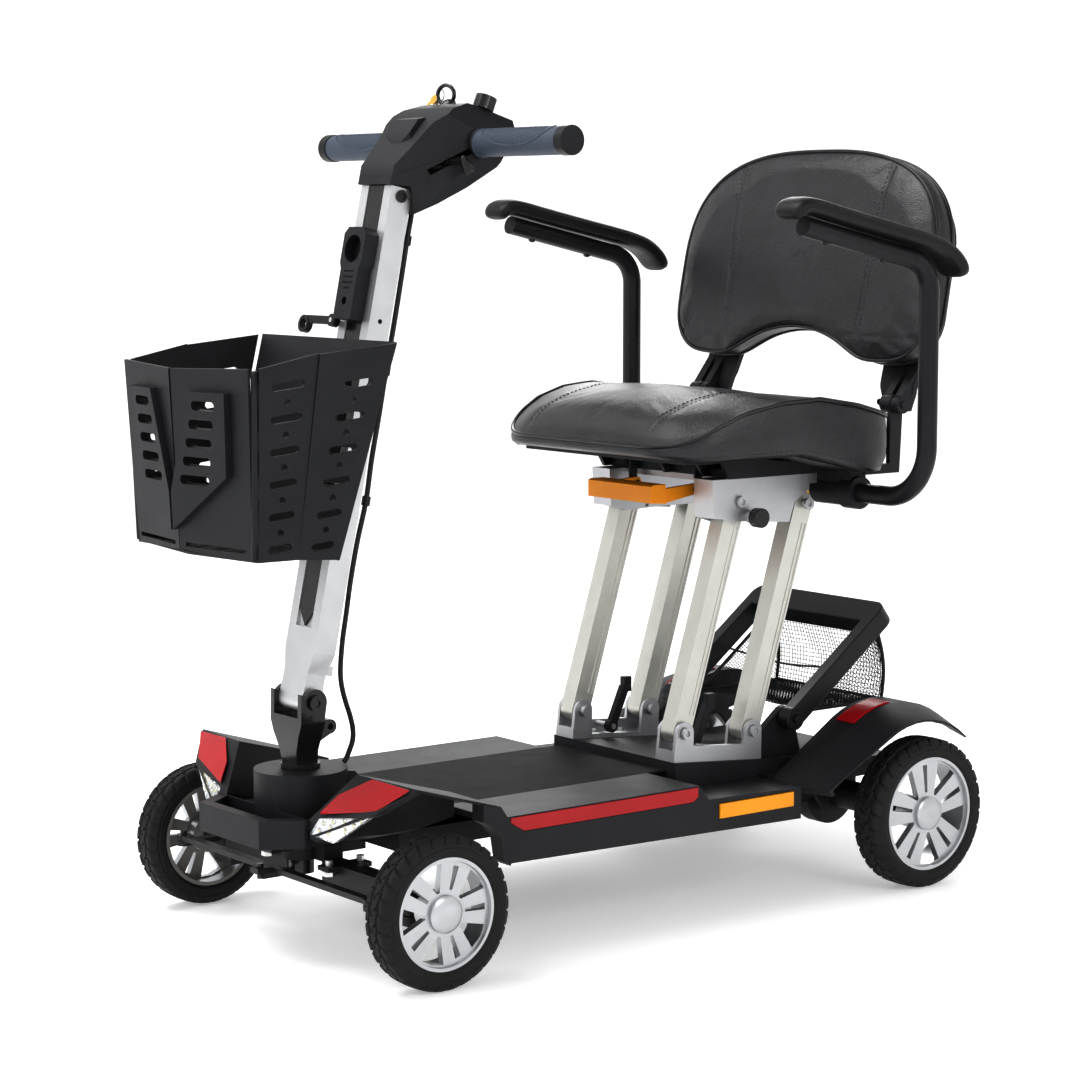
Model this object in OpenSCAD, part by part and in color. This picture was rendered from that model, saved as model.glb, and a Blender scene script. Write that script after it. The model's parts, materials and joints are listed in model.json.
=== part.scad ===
// Four-wheeled folding mobility scooter.
// Working frame: origin on the ground below the front axle, +Y to the rear, +Z up,
// +X to the rider's left. placed() then centres the whole scooter over the origin.

/* [Wheels] */
// Distance between the front and the rear axle
wheelbase = 812; // [760:1:980]
// Outer radius of a front tyre
front_tyre_r = 92.6; // [84:0.2:94]
// Width of a front tyre
front_tyre_w = 44; // [36:1:50]
// Outer radius of a rear tyre
rear_tyre_r = 101.6; // [92:0.2:104]
// Width of a rear tyre
rear_tyre_w = 52; // [40:1:56]
// Radial thickness of a tyre
tyre_wall = 25; // [18:1:30]
// From the centre plane to the outer side of a front tyre
front_half_track = 288; // [280:1:310]
// From the centre plane to the outer side of a rear tyre
rear_half_track = 269; // [262:1:290]
// Radius of a wheel axle
axle_r = 7; // [5:0.5:8]
// Number of twin spokes in a wheel
spoke_pairs = 5; // [4:1:6]
// Radius of a hub cap
hubcap_r = 22.5; // [18:0.5:24]

/* [Deck] */
// Half width of the deck
deck_half_w = 217; // [210:1:240]
// Height of the deck's top
deck_top = 178; // [174:1:190]
// Height of the lower edge of the deck's side
deck_hem = 120; // [110:1:126]
// Thickness of the deck's plates
deck_wall = 5; // [3:0.5:6]
// Half width of the textured floor panel
floor_half_w = 111; // [90:1:130]
// Thickness of the floor panel
floor_t = 3; // [2:0.5:4]
// From the rear axle forward to the rear box
rear_box_reach = 333; // [320:1:345]
// Half width of the rear box
rear_box_half_w = 130; // [128:1:136]
// Downward slope of the rear box's top, in degrees
rear_slope = 4.6; // [0:0.2:6]

/* [Steering] */
// Steering axis ahead of the front axle
post_ahead = 18; // [10:1:24]
// Radius of the steering stem
stem_r = 16; // [12:0.5:18]
// Half distance between the kingpins
kingpin_x = 215; // [205:1:222]
// Radius of a kingpin
kingpin_r = 6; // [5:0.5:7]
// Length of the steering arms
steer_arm = 60; // [50:1:64]
// Height of the tie rod's underside above the front axle
tie_rod_up = 7.4; // [3:0.2:12]

/* [Tiller] */
// Height of the tiller's folding pivot
fold_z = 309; // [300:1:340]
// Rearward lean of the tiller column, in degrees
tiller_lean = 11.9; // [6:0.1:16]
// Width of the tiller column
column_w = 66; // [56:1:70]
// Depth of the tiller column
column_d = 31; // [26:1:34]
// Column length above the folding pivot
column_len = 640; // [560:1:760]
// Radius of the folding pivot's bolt
fold_bolt_r = 6; // [4:0.5:8]
// Radius of the handlebar tube
bar_r = 11; // [9:0.5:12.5]
// Half length of the handlebar
bar_half = 255; // [230:1:290]
// Radius of a hand grip
grip_r = 17; // [14:0.5:19]

/* [Seat] */
// Length of a seat link between its pivots
link_len = 314; // [280:1:360]
// Rearward lean of the seat links, in degrees
link_lean = 17.3; // [10:0.1:20]
// Distance between the front and the rear link pivots
link_spacing = 120; // [112:1:130]
// Width of a seat link
link_w = 26; // [20:1:28]
// Depth of a seat link
link_d = 31; // [24:1:32]
// From the centre plane to the middle of a seat link
link_x = 107; // [104:1:112]
// Radius of a link bolt
link_bolt_r = 5; // [4:0.5:6]
// Half width of the seat cushion
seat_half_w = 236; // [215:1:250]
// Length of the seat cushion
seat_len = 362; // [340:1:380]
// Half width of the back cushion
back_half_w = 254; // [225:1:262]
// Height of the back cushion
back_h = 292; // [250:1:340]
// Thickness of the back cushion
back_t = 42; // [30:1:50]
// Rearward lean of the back cushion, in degrees
back_lean = 10.4; // [4:0.2:16]
// Radius of an armrest tube
arm_r = 13; // [11:0.5:14.5]
// From the centre plane to an armrest tube
arm_x = 303; // [296:1:320]
// Height of an armrest's elbow above its socket
arm_rise = 307; // [260:1:340]
// Length of an armrest pad
pad_len = 306; // [250:1:330]
// Width of an armrest pad
pad_w = 54; // [44:1:60]

/* [Basket] */
// Wall thickness of the basket
basket_t = 4; // [3:0.5:5]
// Number of slots in each raised half of the front panel
front_slots = 5; // [3:1:6]
// Number of slots in each side leaf
side_slots = 6; // [4:1:6]

/* [Carry frame and bag] */
// Length of the carry frame's arms
carry_len = 222; // [190:1:240]
// Half width of the carry frame
carry_half_w = 132; // [128:1:138]
// Rise of the carry frame above level, in degrees
carry_rise = 37; // [34:1:44]

/* [Fits] */
// Radial clearance of a running fit
run_gap = 0.05; // [0.02:0.01:0.1]
// Radial clearance round a bolt that doesn't turn
bolt_gap = 0.15; // [0.1:0.05:0.3]
// Radial clearance at a linkage pivot that is left open
open_gap = 0.4; // [0.3:0.1:0.8]
// Gap between pieces that move past each other
move_gap = 0.6; // [0.3:0.1:1]

/* [Hidden] */
$fn = 64;

// Basket corners: front crease, front corner, side hinge and rear corner, at foot and rim
crease_foot = [0, -180, 508];
crease_rim = [0, -195, 724];
corner_foot = [133, -161, 503];
corner_rim = [143, -166, 728];
hinge_foot = [134, -106, 502];
rear_foot = [135, -48, 497];
rear_rim = [153, 26, 754];

// The whole scooter runs from the basket's crease to the back of the rear tyres
nose_y = crease_rim.y - 2;
mid_y = (nose_y + wheelbase + rear_tyre_r) / 2;
post_y = -post_ahead;
front_axle_z = front_tyre_r;
tie_rod_z = front_axle_z + tie_rod_up;
rear_axle_z = rear_tyre_r;
front_rim_r = front_tyre_r - tyre_wall;
rear_rim_r = rear_tyre_r - tyre_wall;
front_tyre_x = front_half_track - front_tyre_w / 2;
rear_tyre_x = rear_half_track - rear_tyre_w / 2;
box_y = wheelbase - rear_box_reach;
box_z = deck_top + 11;

// Link pivots, and how far the seat stands from the place these sizes give it
pivot_rise = 38.5;
front_pivot_in = 16;
front_pivot = box_point(front_pivot_in, pivot_rise);
rear_pivot = box_point(front_pivot_in + link_spacing, pivot_rise);
front_top = front_pivot + link_len * [sin(link_lean), cos(link_lean)];
rear_top = rear_pivot + link_len * [sin(link_lean), cos(link_lean)];
seat_y = front_top.x - 590;
seat_z = front_top.y - 526;

// Armrest and backrest pivots
arm_pivot = [rear_top.x + 46.4, seat_z + 532];
back_pivot = [seat_y + 802, seat_z + 650];
arm_bend = 70;
elbow_bend = 45;
arm_slope = 12.4;
seat_front = seat_y + 425;
seat_rear = seat_front + seat_len;
bracket_out = link_x + 19;
bracket_in = link_x - 19;
ear_gap = 1;

// Carry frame pivot
carry_pivot = [box_y + link_spacing + 91, deck_top + 47];
carry_t = 28;
carry_bar = 40;
carry_arm_w = 20;
carry_pin_r = 5;

// Height of the column's top in the tiller's own frame, against the head drawn for 640
head_shift = column_len - 640;

// A point on the rear box's sloping frame, as [y, z]
function box_point(along, up) = [
    box_y + along * cos(rear_slope) + up * sin(rear_slope),
    box_z - along * sin(rear_slope) + up * cos(rear_slope)
];

// Moves the scooter so that its box is centred over the origin
module placed() { translate([0, -mid_y, 0]) children(); }

// The children and their mirror image across the centre plane
module both_sides() {
    children();
    mirror([1, 0, 0]) children();
}

// A [y, z] outline made solid from x0 to x1
module side_plate(x0, x1) {
    translate([x0, 0, 0]) rotate([90, 0, 90]) linear_extrude(x1 - x0) children();
}

// An [x, y] outline made solid from z0 to z1
module plan_plate(z0, z1) { translate([0, 0, z0]) linear_extrude(z1 - z0) children(); }

// An [x, z] outline made solid from y0 to y1
module front_plate(y0, y1) {
    translate([0, y1, 0]) rotate([90, 0, 0]) linear_extrude(y1 - y0) children();
}

// A cylinder along X through [y, z]
module x_rod(x0, x1, r, at) {
    translate([x0, at.x, at.y]) rotate([0, 90, 0]) cylinder(h = x1 - x0, r = r);
}

// A box between two corners
module block(a, b) { translate(a) cube(b - a); }

// A bolt head with a hexagon socket, along +Z from its seat
module socket_head(r, h) {
    difference() {
        cylinder(h = h, r = r);
        translate([0, 0, h / 2]) cylinder(h = h, r = r / 2, $fn = 6);
    }
}

// Frame of the rear box's sloping top, frame of the leaning tiller
module box_frame() { translate([0, box_y, box_z]) rotate([-rear_slope, 0, 0]) children(); }
module tiller_frame() { translate([0, post_y, fold_z]) rotate([-tiller_lean, 0, 0]) children(); }

// A slot of the given length and width along x, centred
module slot2d(length, width) {
    for (s = [-1, 1]) translate([s * (length - width) / 2, 0]) circle(d = width);
    square([length - width, width], center = true);
}

// ---- Chassis ----

rail_x = 88;
rail_w = 24;
rail_z0 = deck_hem + 4;
rail_z1 = deck_top - 28;
head_tube_r = 24;
head_tube_z0 = 112;
boss_top = 224;
beam_half = kingpin_x - 26;
flange_z = 108;
flange_bolt_y = 23;
fork_r = 13;
fork_z = [front_axle_z - 26, front_axle_z - 14, front_axle_z + 14, front_axle_z + 26];

module main_frame() {
    color("dimgray") placed() {
        difference() {
            union() {
                both_sides() block([rail_x - rail_w / 2, 60, rail_z0], [rail_x + rail_w / 2, wheelbase - 60, rail_z1]);
                for (y = [60, 120, box_y - 22, wheelbase - 200])
                    block([-rail_x, y, rail_z0], [rail_x, y + 20, rail_z1]);
                translate([0, post_y, head_tube_z0]) cylinder(h = boss_top - 14 - head_tube_z0, r = head_tube_r);
                block([-12, post_y, head_tube_z0], [12, 70, head_tube_z0 + 36]);
                block([-45, -14, head_tube_z0], [45, 14, head_tube_z0 + 20]);
                both_sides() block([58, -32, flange_z], [82, 32, flange_z + 6]);
                both_sides() beam_half_solid();
                both_sides() side_plate(rail_x - 4, rail_x + 4) axle_hanger();
            }
            translate([0, post_y, 0]) cylinder(h = 400, r = stem_r + run_gap);
            x_rod(-200, 200, axle_tube_r + bolt_gap, [wheelbase, rear_axle_z]);
            both_sides() for (y = [-flange_bolt_y, flange_bolt_y])
                translate([70, y, 90]) cylinder(h = 40, r = 5 + bolt_gap);
        }
        both_sides() translate([kingpin_x, 0, fork_z[0] - 4])
            cylinder(h = fork_z[3] - fork_z[0] + 8, r = kingpin_r);
    }
}

module beam_half_solid() {
    difference() {
        union() {
            block([40, -14, fork_z[1] + 4], [beam_half, 14, head_tube_z0 + 2]);
            for (z = [fork_z[0], fork_z[2]])
                block([beam_half - 12, -fork_r, z], [kingpin_x, fork_r, z + 12]);
            for (z = [fork_z[0], fork_z[2]]) translate([kingpin_x, 0, z]) cylinder(h = 12, r = fork_r);
            block([beam_half - 12, -fork_r, fork_z[0]], [beam_half - 2, fork_r, fork_z[3]]);
        }
        translate([kingpin_x, 0, 0]) cylinder(h = 200, r = kingpin_r + bolt_gap);
    }
}

axle_tube_r = 20;

// Plate that hangs the rear axle from the frame rail, as a [y, z] outline
module axle_hanger() {
    polygon([
        [wheelbase - 110, rail_z1], [wheelbase + 30, rail_z1 - 10], [wheelbase + 30, rear_axle_z - 26],
        [wheelbase - 26, rear_axle_z - 26], [wheelbase - 60, rail_z0], [wheelbase - 110, rail_z0]
    ]);
}

arch_y = 128;
step_y = box_y - 34;
shelf_z = deck_top - 20;
deck_rear = wheelbase - 190;

// Side of the deck, as a [y, z] outline
module deck_side_outline() {
    polygon([
        [arch_y + 8, deck_hem], [arch_y, deck_hem + 18], [arch_y - 6, deck_top - 8], [arch_y - 6, deck_top],
        [step_y, deck_top], [step_y + 16, shelf_z], [deck_rear, shelf_z - 4], [deck_rear, deck_hem - 8]
    ]);
}

module deck_shell() {
    color([0.10, 0.10, 0.11]) placed() difference() {
        union() {
            both_sides() side_plate(deck_half_w - 12, deck_half_w) deck_side_outline();
            intersection() {
                side_plate(-deck_half_w + 6, deck_half_w - 6) deck_side_outline();
                union() {
                    block([-300, 0, deck_top - deck_wall - floor_t], [300, step_y + 14, deck_top]);
                    block([-300, step_y - 2, rail_z1], [300, wheelbase, shelf_z]);
                }
            }
            plan_plate(deck_top - deck_wall - floor_t, deck_top) deck_tongue();
        }
        block([-floor_half_w - move_gap, 0, deck_top - floor_t], [floor_half_w + move_gap, box_y, deck_top + 20]);
        block([-rear_box_half_w - move_gap, box_y - move_gap, 0], [rear_box_half_w + move_gap, wheelbase, 400]);
        both_sides() side_trim(0.4);
        both_sides() reflector_solid(0.3);
    }
}

// Front end of the deck between the wings, as an [x, y] outline
module deck_tongue() {
    polygon([
        [-floor_half_w - 3, 62], [floor_half_w + 3, 62], [floor_half_w + 16, 100], [floor_half_w + 16, arch_y],
        [-floor_half_w - 16, arch_y], [-floor_half_w - 16, 100]
    ]);
}

module floor_panel() {
    color([0.13, 0.13, 0.14]) placed()
        block([-floor_half_w, 66, deck_top - floor_t], [floor_half_w, box_y - 1, deck_top]);
}

trim_t = 3;
trim_y = [arch_y + 16, step_y - 2];

// Red strip let into the deck's upper side edge
module side_trim(gap) {
    side_plate(deck_half_w - trim_t - gap, deck_half_w + gap) polygon([
        [trim_y[0] - gap, deck_top - 2 + gap], [trim_y[1] + gap, deck_top - 2 + gap],
        [trim_y[1] + gap, deck_top - 14], [trim_y[1] - 8, deck_top - 20 - gap],
        [trim_y[0] + 20, deck_top - 20 - gap], [trim_y[0] - gap, deck_top - 8]
    ]);
}

refl_y = [box_y, box_y + 128];
refl_z = [shelf_z - 27, shelf_z - 8];

module reflector_solid(gap) {
    block([deck_half_w - 3 - gap, refl_y[0] - gap, refl_z[0] - gap],
          [deck_half_w + 2 + gap, refl_y[1] + gap, refl_z[1] + gap]);
}

module side_reflectors() { color("orange") placed() both_sides() reflector_solid(0); }

// Corners of the wing, its red panel and its headlight, on the left side
wing_tail = [236, 112, 199];
panel_corners = [[168, -23, 234], [236, -19, 232], [202, -43, 205], [115, -63, 190], [129, -45, 212]];
lamp_corners = [[196, -49, 198], [117, -67, 186], [109, -75, 167], [145, -66, 161]];

// Thin convex solid round a list of corners, pushed out by a vector
module skin(corners, push) {
    hull() {
        for (p = corners) translate(p) cube(0.4, center = true);
        for (p = corners) translate(p + push) cube(0.4, center = true);
    }
}

boss_r = 58;

module front_body() {
    color([0.10, 0.10, 0.11]) placed() difference() {
        union() {
            translate([0, post_y, 150]) cylinder(h = boss_top - 150, r = boss_r);
            side_plate(-34, 34) polygon([[0, 150], [0, boss_top - 1], [40, 218], [60, 198], [60, 150]]);
            block([-99, -70, 148], [99, 59, 170]);
            both_sides() wing();
            both_sides() fender_tail();
        }
        translate([0, post_y, 100]) cylinder(h = boss_top - 8 - 100, r = boss_r - 5);
        translate([0, post_y, 100]) cylinder(h = 200, r = stem_r + 4);
        side_plate(-29, 29) polygon([[0, 140], [0, boss_top - 10], [37, 212], [55, 194], [55, 140]]);
        block([-92, -62, 140], [92, 54, 165]);
        both_sides() skin(lamp_corners, [0, 22, 0]);
    }
}

wing_outer = [
    [134, -24, 237], [245, -12, 235], [204, -47, 203], [112, -76, 163], [95, -67, 181], [98, -60, 152],
    [114, 0, 152], [136, 112, 199], [240, 112, 198], [136, 112, 168], [114, 56, 152]
];
wing_inner = [
    [140, -14, 231], [256, -4, 229], [208, -38, 197], [122, -56, 170], [122, -56, 130], [144, 118, 193],
    [256, 118, 192], [144, 118, 130], [256, 118, 130], [256, -38, 130]
];

// Convex solid through a list of points
module convex(points) { hull() for (p = points) translate(p) cube(0.4, center = true); }

// Wing from the boss out over the front tyre, carrying the red panel and the headlight
module wing() {
    difference() {
        convex(wing_outer);
        convex(wing_inner);
    }
}

// Plate that runs down from the wing's tail to the deck's side
module fender_tail() {
    side_plate(deck_half_w, wing_tail.x + 4) polygon([
        [86, 204], [wing_tail.y, wing_tail.z - 1], [wing_tail.y + 14, deck_top], [wing_tail.y + 24, 141],
        [wing_tail.y + 14, 124], [wing_tail.y + 5, 130], [wing_tail.y, 160], [100, 174], [86, 182]
    ]);
}

bumper_face = [[69, -122, 147], [69, -115, 180]];

module front_bumper() {
    color([0.09, 0.09, 0.10]) placed() difference() {
        union() {
            front_tray(147, 182);
            block([-62, -100, 138], [62, -62, 147]);
        }
        plan_plate(156, 200) polygon([[-60, -106], [60, -106], [84, -72], [-84, -72]]);
        translate([0, post_y, 149]) cylinder(h = 60, r = boss_r + move_gap);
    }
}

// Tray with a flat middle face and two angled sides
module front_tray(z0, z1) {
    plan_plate(z0, z1) polygon([
        [-bumper_face[0].x, bumper_face[0].y], [bumper_face[0].x, bumper_face[0].y],
        [99, -76], [99, -70.5], [-99, -70.5], [-99, -76]
    ]);
}

module headlights() {
    color([0.85, 0.9, 1.0]) placed() both_sides() translate([0, 0.6, 0]) skin(lamp_corners, [0, 6, 0]);
}

lamp_x = [162, 196];
lamp_r = 143;
lamp_angle = [94, 122];

// Rear lamp let into the top of a fender
module tail_lamp(gap) {
    translate([lamp_x[0] - gap, wheelbase, rear_axle_z]) rotate([90, 0, 90])
        rotate([0, 0, lamp_angle[0]])
            linear_extrude(lamp_x[1] - lamp_x[0] + 2 * gap) difference() {
                intersection() {
                    circle(r = lamp_r + 2 + gap, $fn = 128);
                    polygon([[0, 0], [300, 0], [300 * cos(lamp_angle[1] - lamp_angle[0]),
                             300 * sin(lamp_angle[1] - lamp_angle[0])]]);
                }
                circle(r = lamp_r - 5 - gap, $fn = 128);
            }
}

module red_lenses() {
    color("crimson") placed() both_sides() {
        difference() {
            translate([0, -0.6, 1.2]) skin(panel_corners, [0, -0.6, 1.6]);
            convex(wing_outer);
        }
        side_trim(0);
        tail_lamp(0);
    }
}

// Side of the rear box, as a [y, z] outline in the working frame
module box_outline(wall) {
    top0 = box_point(0, -wall);
    top1 = box_point(395, -wall);
    polygon([
        [box_y + wall, deck_hem], top0 + [wall, 0], top1, [wheelbase + 82 - wall, 128],
        [wheelbase + 70 - wall, 96], [wheelbase + 56 - wall, 60], [wheelbase + 56 - wall, 40],
        [wheelbase - 150, 40], [wheelbase - 150, deck_hem - 2]
    ]);
}

module rear_body() {
    color([0.09, 0.09, 0.10]) placed() difference() {
        union() {
            difference() {
                intersection() {
                    side_plate(-rear_box_half_w, rear_box_half_w) box_outline(0);
                    block([-400, 0, deck_hem - 6], [400, 2000, 400]);
                }
                side_plate(-rear_box_half_w + 5, rear_box_half_w - 5) box_outline(5);
                block([-400, wheelbase - 60, 0], [400, wheelbase + 56, rear_axle_z + 30]);
            }
            both_sides() side_plate(rear_box_half_w - 10, rear_fender_x - move_gap) polygon([
                [deck_rear + 2, shelf_z - 8], [deck_rear + 2, shelf_z], [wheelbase - 150, shelf_z + 4],
                [wheelbase + 40, shelf_z + 4], [wheelbase + 40, shelf_z - 8]
            ]);
            both_sides() carry_ear();
        }
        x_rod(-200, 200, axle_tube_r + 2, [wheelbase, rear_axle_z]);
        both_sides() block([rail_x - rail_w / 2 - 1, box_y - 1, 0], [rail_x + rail_w / 2 + 1, box_y + 20, rail_z1 + 1]);
    }
}

carry_ear_x = [carry_half_w - carry_arm_w - 12, carry_half_w - carry_arm_w - 2];

// Ear that holds one end of the carry frame, with its pin
module carry_ear() {
    foot = box_point(carry_pivot.x - box_y, -3).y;
    side_plate(carry_ear_x[0], carry_ear_x[1]) {
        translate(carry_pivot) circle(r = 15);
        polygon([
            [carry_pivot.x - 55, foot + 4], [carry_pivot.x - 52, foot + 34], [carry_pivot.x - 8, carry_pivot.y + 13],
            [carry_pivot.x + 15, carry_pivot.y], [carry_pivot.x + 30, foot - 1]
        ]);
    }
    x_rod(carry_ear_x[0], carry_half_w + 4, carry_pin_r, carry_pivot);
}

rear_fender_x = 150;
fender_gap = 11;

// Fender outline round the rear wheel, as [y, z] from the wheel's centre
module fender_outline(r, tip) {
    polygon(concat(
        [for (a = [48:8:128]) r * [cos(a), sin(a)]],
        [[-150 + tip, 70 - tip], [-186 + tip, 50], [-182 + tip, 42]]
    ));
}

module rear_fenders() {
    color([0.10, 0.10, 0.11]) placed() both_sides() difference() {
        translate([0, wheelbase, rear_axle_z]) difference() {
            hull() {
                side_plate(rear_fender_x, rear_fender_x + 50) fender_outline(143, 0);
                side_plate(rear_tyre_x + 6, rear_tyre_x + 8) fender_outline(rear_tyre_r + 24, 14);
            }
            hull() {
                side_plate(rear_fender_x + 5, rear_fender_x + 46) fender_outline(137, 8);
                side_plate(rear_tyre_x + 7, rear_tyre_x + 20) fender_outline(rear_tyre_r + 18, 24);
            }
            x_rod(rear_fender_x + 5, 400, rear_tyre_r + fender_gap, [0, 0]);
        }
        tail_lamp(0.3);
    }
}

// ---- Seat brackets, in the rear box's sloping frame ----

module seat_brackets() {
    color("silver") placed() both_sides() {
        box_frame() difference() {
            union() {
                block([bracket_in, 0, 0], [bracket_out, link_spacing + 33, 6]);
                block([bracket_in, 0, 0], [bracket_out, 7, 15]);
                block([bracket_out - 7, 30, 0], [bracket_out, link_spacing + 6, 21]);
                for (y = [front_pivot_in, front_pivot_in + link_spacing])
                    for (x = [[bracket_in, link_x - link_w / 2 - ear_gap],
                              [link_x + link_w / 2 + ear_gap, bracket_out]])
                        side_plate(x[0], x[1]) clevis_ear(y);
                block([bracket_in, link_spacing + 27, 0], [bracket_out, link_spacing + 33, 15]);
            }
            for (y = [front_pivot_in, front_pivot_in + link_spacing])
                x_rod(0, 300, link_bolt_r + bolt_gap, [y, pivot_rise]);
        }
        for (at = [front_pivot, rear_pivot]) {
            x_rod(bracket_in - 5, bracket_out + 1, link_bolt_r, at);
            translate([bracket_out + 1, at.x, at.y]) rotate([0, 90, 0]) socket_head(8, 5);
            x_rod(bracket_in - 9, bracket_in - 1, 8, at);
        }
        x_rod(latch_x[0] - 2, bracket_out - 6, latch_pin_r, latch_pivot);
    }
}

module clevis_ear(y) {
    translate([y, pivot_rise]) circle(r = 15);
    polygon([[y - 16, 0], [y - 15, pivot_rise], [y + 15, pivot_rise], [y + 18, 0]]);
}

latch_x = [link_x - 24, link_x - 14];
latch_pivot = box_point(66, 16);
latch_pin_r = 4;

// Lever between the clevises that frees one side of the rear section
module latch_lever() {
    difference() {
        side_plate(latch_x[0], latch_x[1]) {
            translate(latch_pivot) circle(r = 9);
            translate(latch_pivot) rotate(-24) translate([-6, 0]) square([12, 58]);
            translate(latch_pivot + [20, 46]) square([13, 21]);
        }
        x_rod(0, 300, latch_pin_r + run_gap, latch_pivot);
    }
}

module latch_lever_left() { color([0.12, 0.12, 0.13]) placed() latch_lever(); }
module latch_lever_right() { color([0.12, 0.12, 0.13]) placed() mirror([1, 0, 0]) latch_lever(); }

// ---- Drive and electrics ----

motor_at = [wheelbase - 117, 105];
motor_r = 40;
case_x = [46, rail_x - rail_w / 2 - 2];
case_r = 46;
tube_half = 205;

module transaxle() {
    color([0.2, 0.2, 0.2]) placed() {
        x_rod(-tube_half, tube_half, axle_tube_r, [wheelbase, rear_axle_z]);
        x_rod(-rear_half_track + 12, rear_half_track - 12, axle_r, [wheelbase, rear_axle_z]);
        x_rod(case_x[0], case_x[1], case_r, [wheelbase, rear_axle_z]);
        x_rod(case_x[0], case_x[1], motor_r - 6, motor_at);
        block([case_x[0], motor_at.x, 92], [case_x[1], wheelbase, 122]);
        x_rod(-40, case_x[0] + 1, motor_r - 2, motor_at);
        for (x = [-30:15:30]) x_rod(x, x + 4, motor_r, motor_at);
    }
}

module battery_pack() {
    color([0.15, 0.15, 0.17]) placed() {
        block([-70, 145, rail_z0 - 2], [70, step_y - 6, deck_top - deck_wall - floor_t - 2]);
        block([-24, 200, rail_z0 - 5], [24, 220, rail_z0 - 2]);
    }
}

module controller() {
    color([0.3, 0.3, 0.32]) placed() {
        block([-60, box_y + 14, deck_hem + 4], [60, box_y + 100, deck_hem + 34]);
        for (i = [0:5]) block([-56 + i * 20, box_y + 18, deck_hem + 34], [-52 + i * 20, box_y + 96, deck_hem + 42]);
    }
}

module chassis_bolts() {
    color("lightgray") placed() both_sides() {
        for (y = [-flange_bolt_y, flange_bolt_y]) translate([70, y, flange_z - 6.6]) hex_bolt(5, 24);
        box_frame() for (y = [48, 96]) translate([link_x - 2, y, 6]) cylinder(h = 4, r = 4.5);
    }
}

// A bolt pointing up, with its hexagon head below and a washer
module hex_bolt(r, length) {
    cylinder(h = 5, r = r * 1.7, $fn = 6);
    translate([0, 0, 5]) cylinder(h = 1.6, r = r * 1.7);
    translate([0, 0, 6.6]) cylinder(h = length - 11, r = r);
}

// ---- Wheels, axis along +X, outer side towards +X ----

module tyre(r, w, rim) {
    rotate([0, 90, 0]) rotate_extrude($fn = 128) polygon([
        [rim, -w / 2 + 3], [rim + 8, -w / 2], [r - 12, -w / 2], [r - 3, -w / 2 + 5], [r, -w / 2 + 12],
        [r, w / 2 - 12], [r - 3, w / 2 - 5], [r - 12, w / 2], [rim + 8, w / 2], [rim, w / 2 - 3]
    ]);
}

hub_r = 24;
bearing_r = 15;
bearing_w = 8;

// Rim with its bearings and hub cap
module rim(r, w, phase) {
    face = w / 2 - 8;
    rotate([0, 90, 0]) rotate_extrude($fn = 128) polygon([
        [r - 5, -w / 2 + 3], [r - 5, face - 8], [r - 4, w / 2 - 3], [r, w / 2 - 3], [r, -w / 2 + 3]
    ]);
    difference() {
        union() {
            x_rod(-w / 2 + 8, face - 2, hub_r, [0, 0]);
            difference() {
                x_rod(face - 10, face, r - 4.5, [0, 0]);
                for (i = [0:spoke_pairs - 1]) rotate([phase + i * 360 / spoke_pairs, 0, 0]) spoke_cuts(r, face);
            }
        }
        x_rod(-w, face - 6, bearing_r, [0, 0]);
        x_rod(-w, w, axle_r + 1, [0, 0]);
    }
    for (x = [-w / 2 + 8, face - 6 - bearing_w]) difference() {
        x_rod(x, x + bearing_w, bearing_r - 0.02, [0, 0]);
        x_rod(x - 1, x + bearing_w + 1, axle_r + run_gap, [0, 0]);
    }
    translate([face + 0.2, 0, 0]) rotate([0, 90, 0]) rotate_extrude($fn = 96) polygon([
        [0, 0], [hubcap_r, 0], [hubcap_r, 4], [hubcap_r - 3, 6], [hubcap_r / 2, 7.4], [0, 7.8]
    ]);
}

// One narrow slot and one wide window of a rim, cut through its face
module spoke_cuts(r, face) {
    turn = 180 / spoke_pairs;
    side_plate(face - 20, face + 10) {
        polygon([[hub_r + 5, -2.2], [r - 10, -4], [r - 10, 4], [hub_r + 5, 2.2]]);
        rotate(turn) polygon([
            [hub_r + 3, -2], (r - 7) * [cos(15), -sin(15)], (r - 6) * [1, 0], (r - 7) * [cos(15), sin(15)],
            [hub_r + 3, 2]
        ]);
    }
}

module front_wheel_place() { placed() translate([front_tyre_x, 0, front_axle_z]) children(); }
module rear_wheel_place() { placed() translate([rear_tyre_x, wheelbase, rear_axle_z]) children(); }
module flipped() { mirror([1, 0, 0]) children(); }

module front_tyre_left() {
    color([0.08, 0.08, 0.09]) front_wheel_place() tyre(front_tyre_r, front_tyre_w, front_rim_r);
}
module front_tyre_right() {
    color([0.08, 0.08, 0.09]) flipped() front_wheel_place() tyre(front_tyre_r, front_tyre_w, front_rim_r);
}
module rear_tyre_left() {
    color([0.08, 0.08, 0.09]) rear_wheel_place() tyre(rear_tyre_r, rear_tyre_w, rear_rim_r);
}
module rear_tyre_right() {
    color([0.08, 0.08, 0.09]) flipped() rear_wheel_place() tyre(rear_tyre_r, rear_tyre_w, rear_rim_r);
}
module front_rim_left() { color("silver") front_wheel_place() rim(front_rim_r, front_tyre_w, 1); }
module front_rim_right() { color("silver") flipped() front_wheel_place() rim(front_rim_r, front_tyre_w, 30); }
module rear_rim_left() { color("silver") rear_wheel_place() rim(rear_rim_r, rear_tyre_w, 23); }
module rear_rim_right() { color("silver") flipped() rear_wheel_place() rim(rear_rim_r, rear_tyre_w, 50); }

// ---- Steering ----

knuckle_z = [fork_z[1] + move_gap, fork_z[2] - move_gap];

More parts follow.
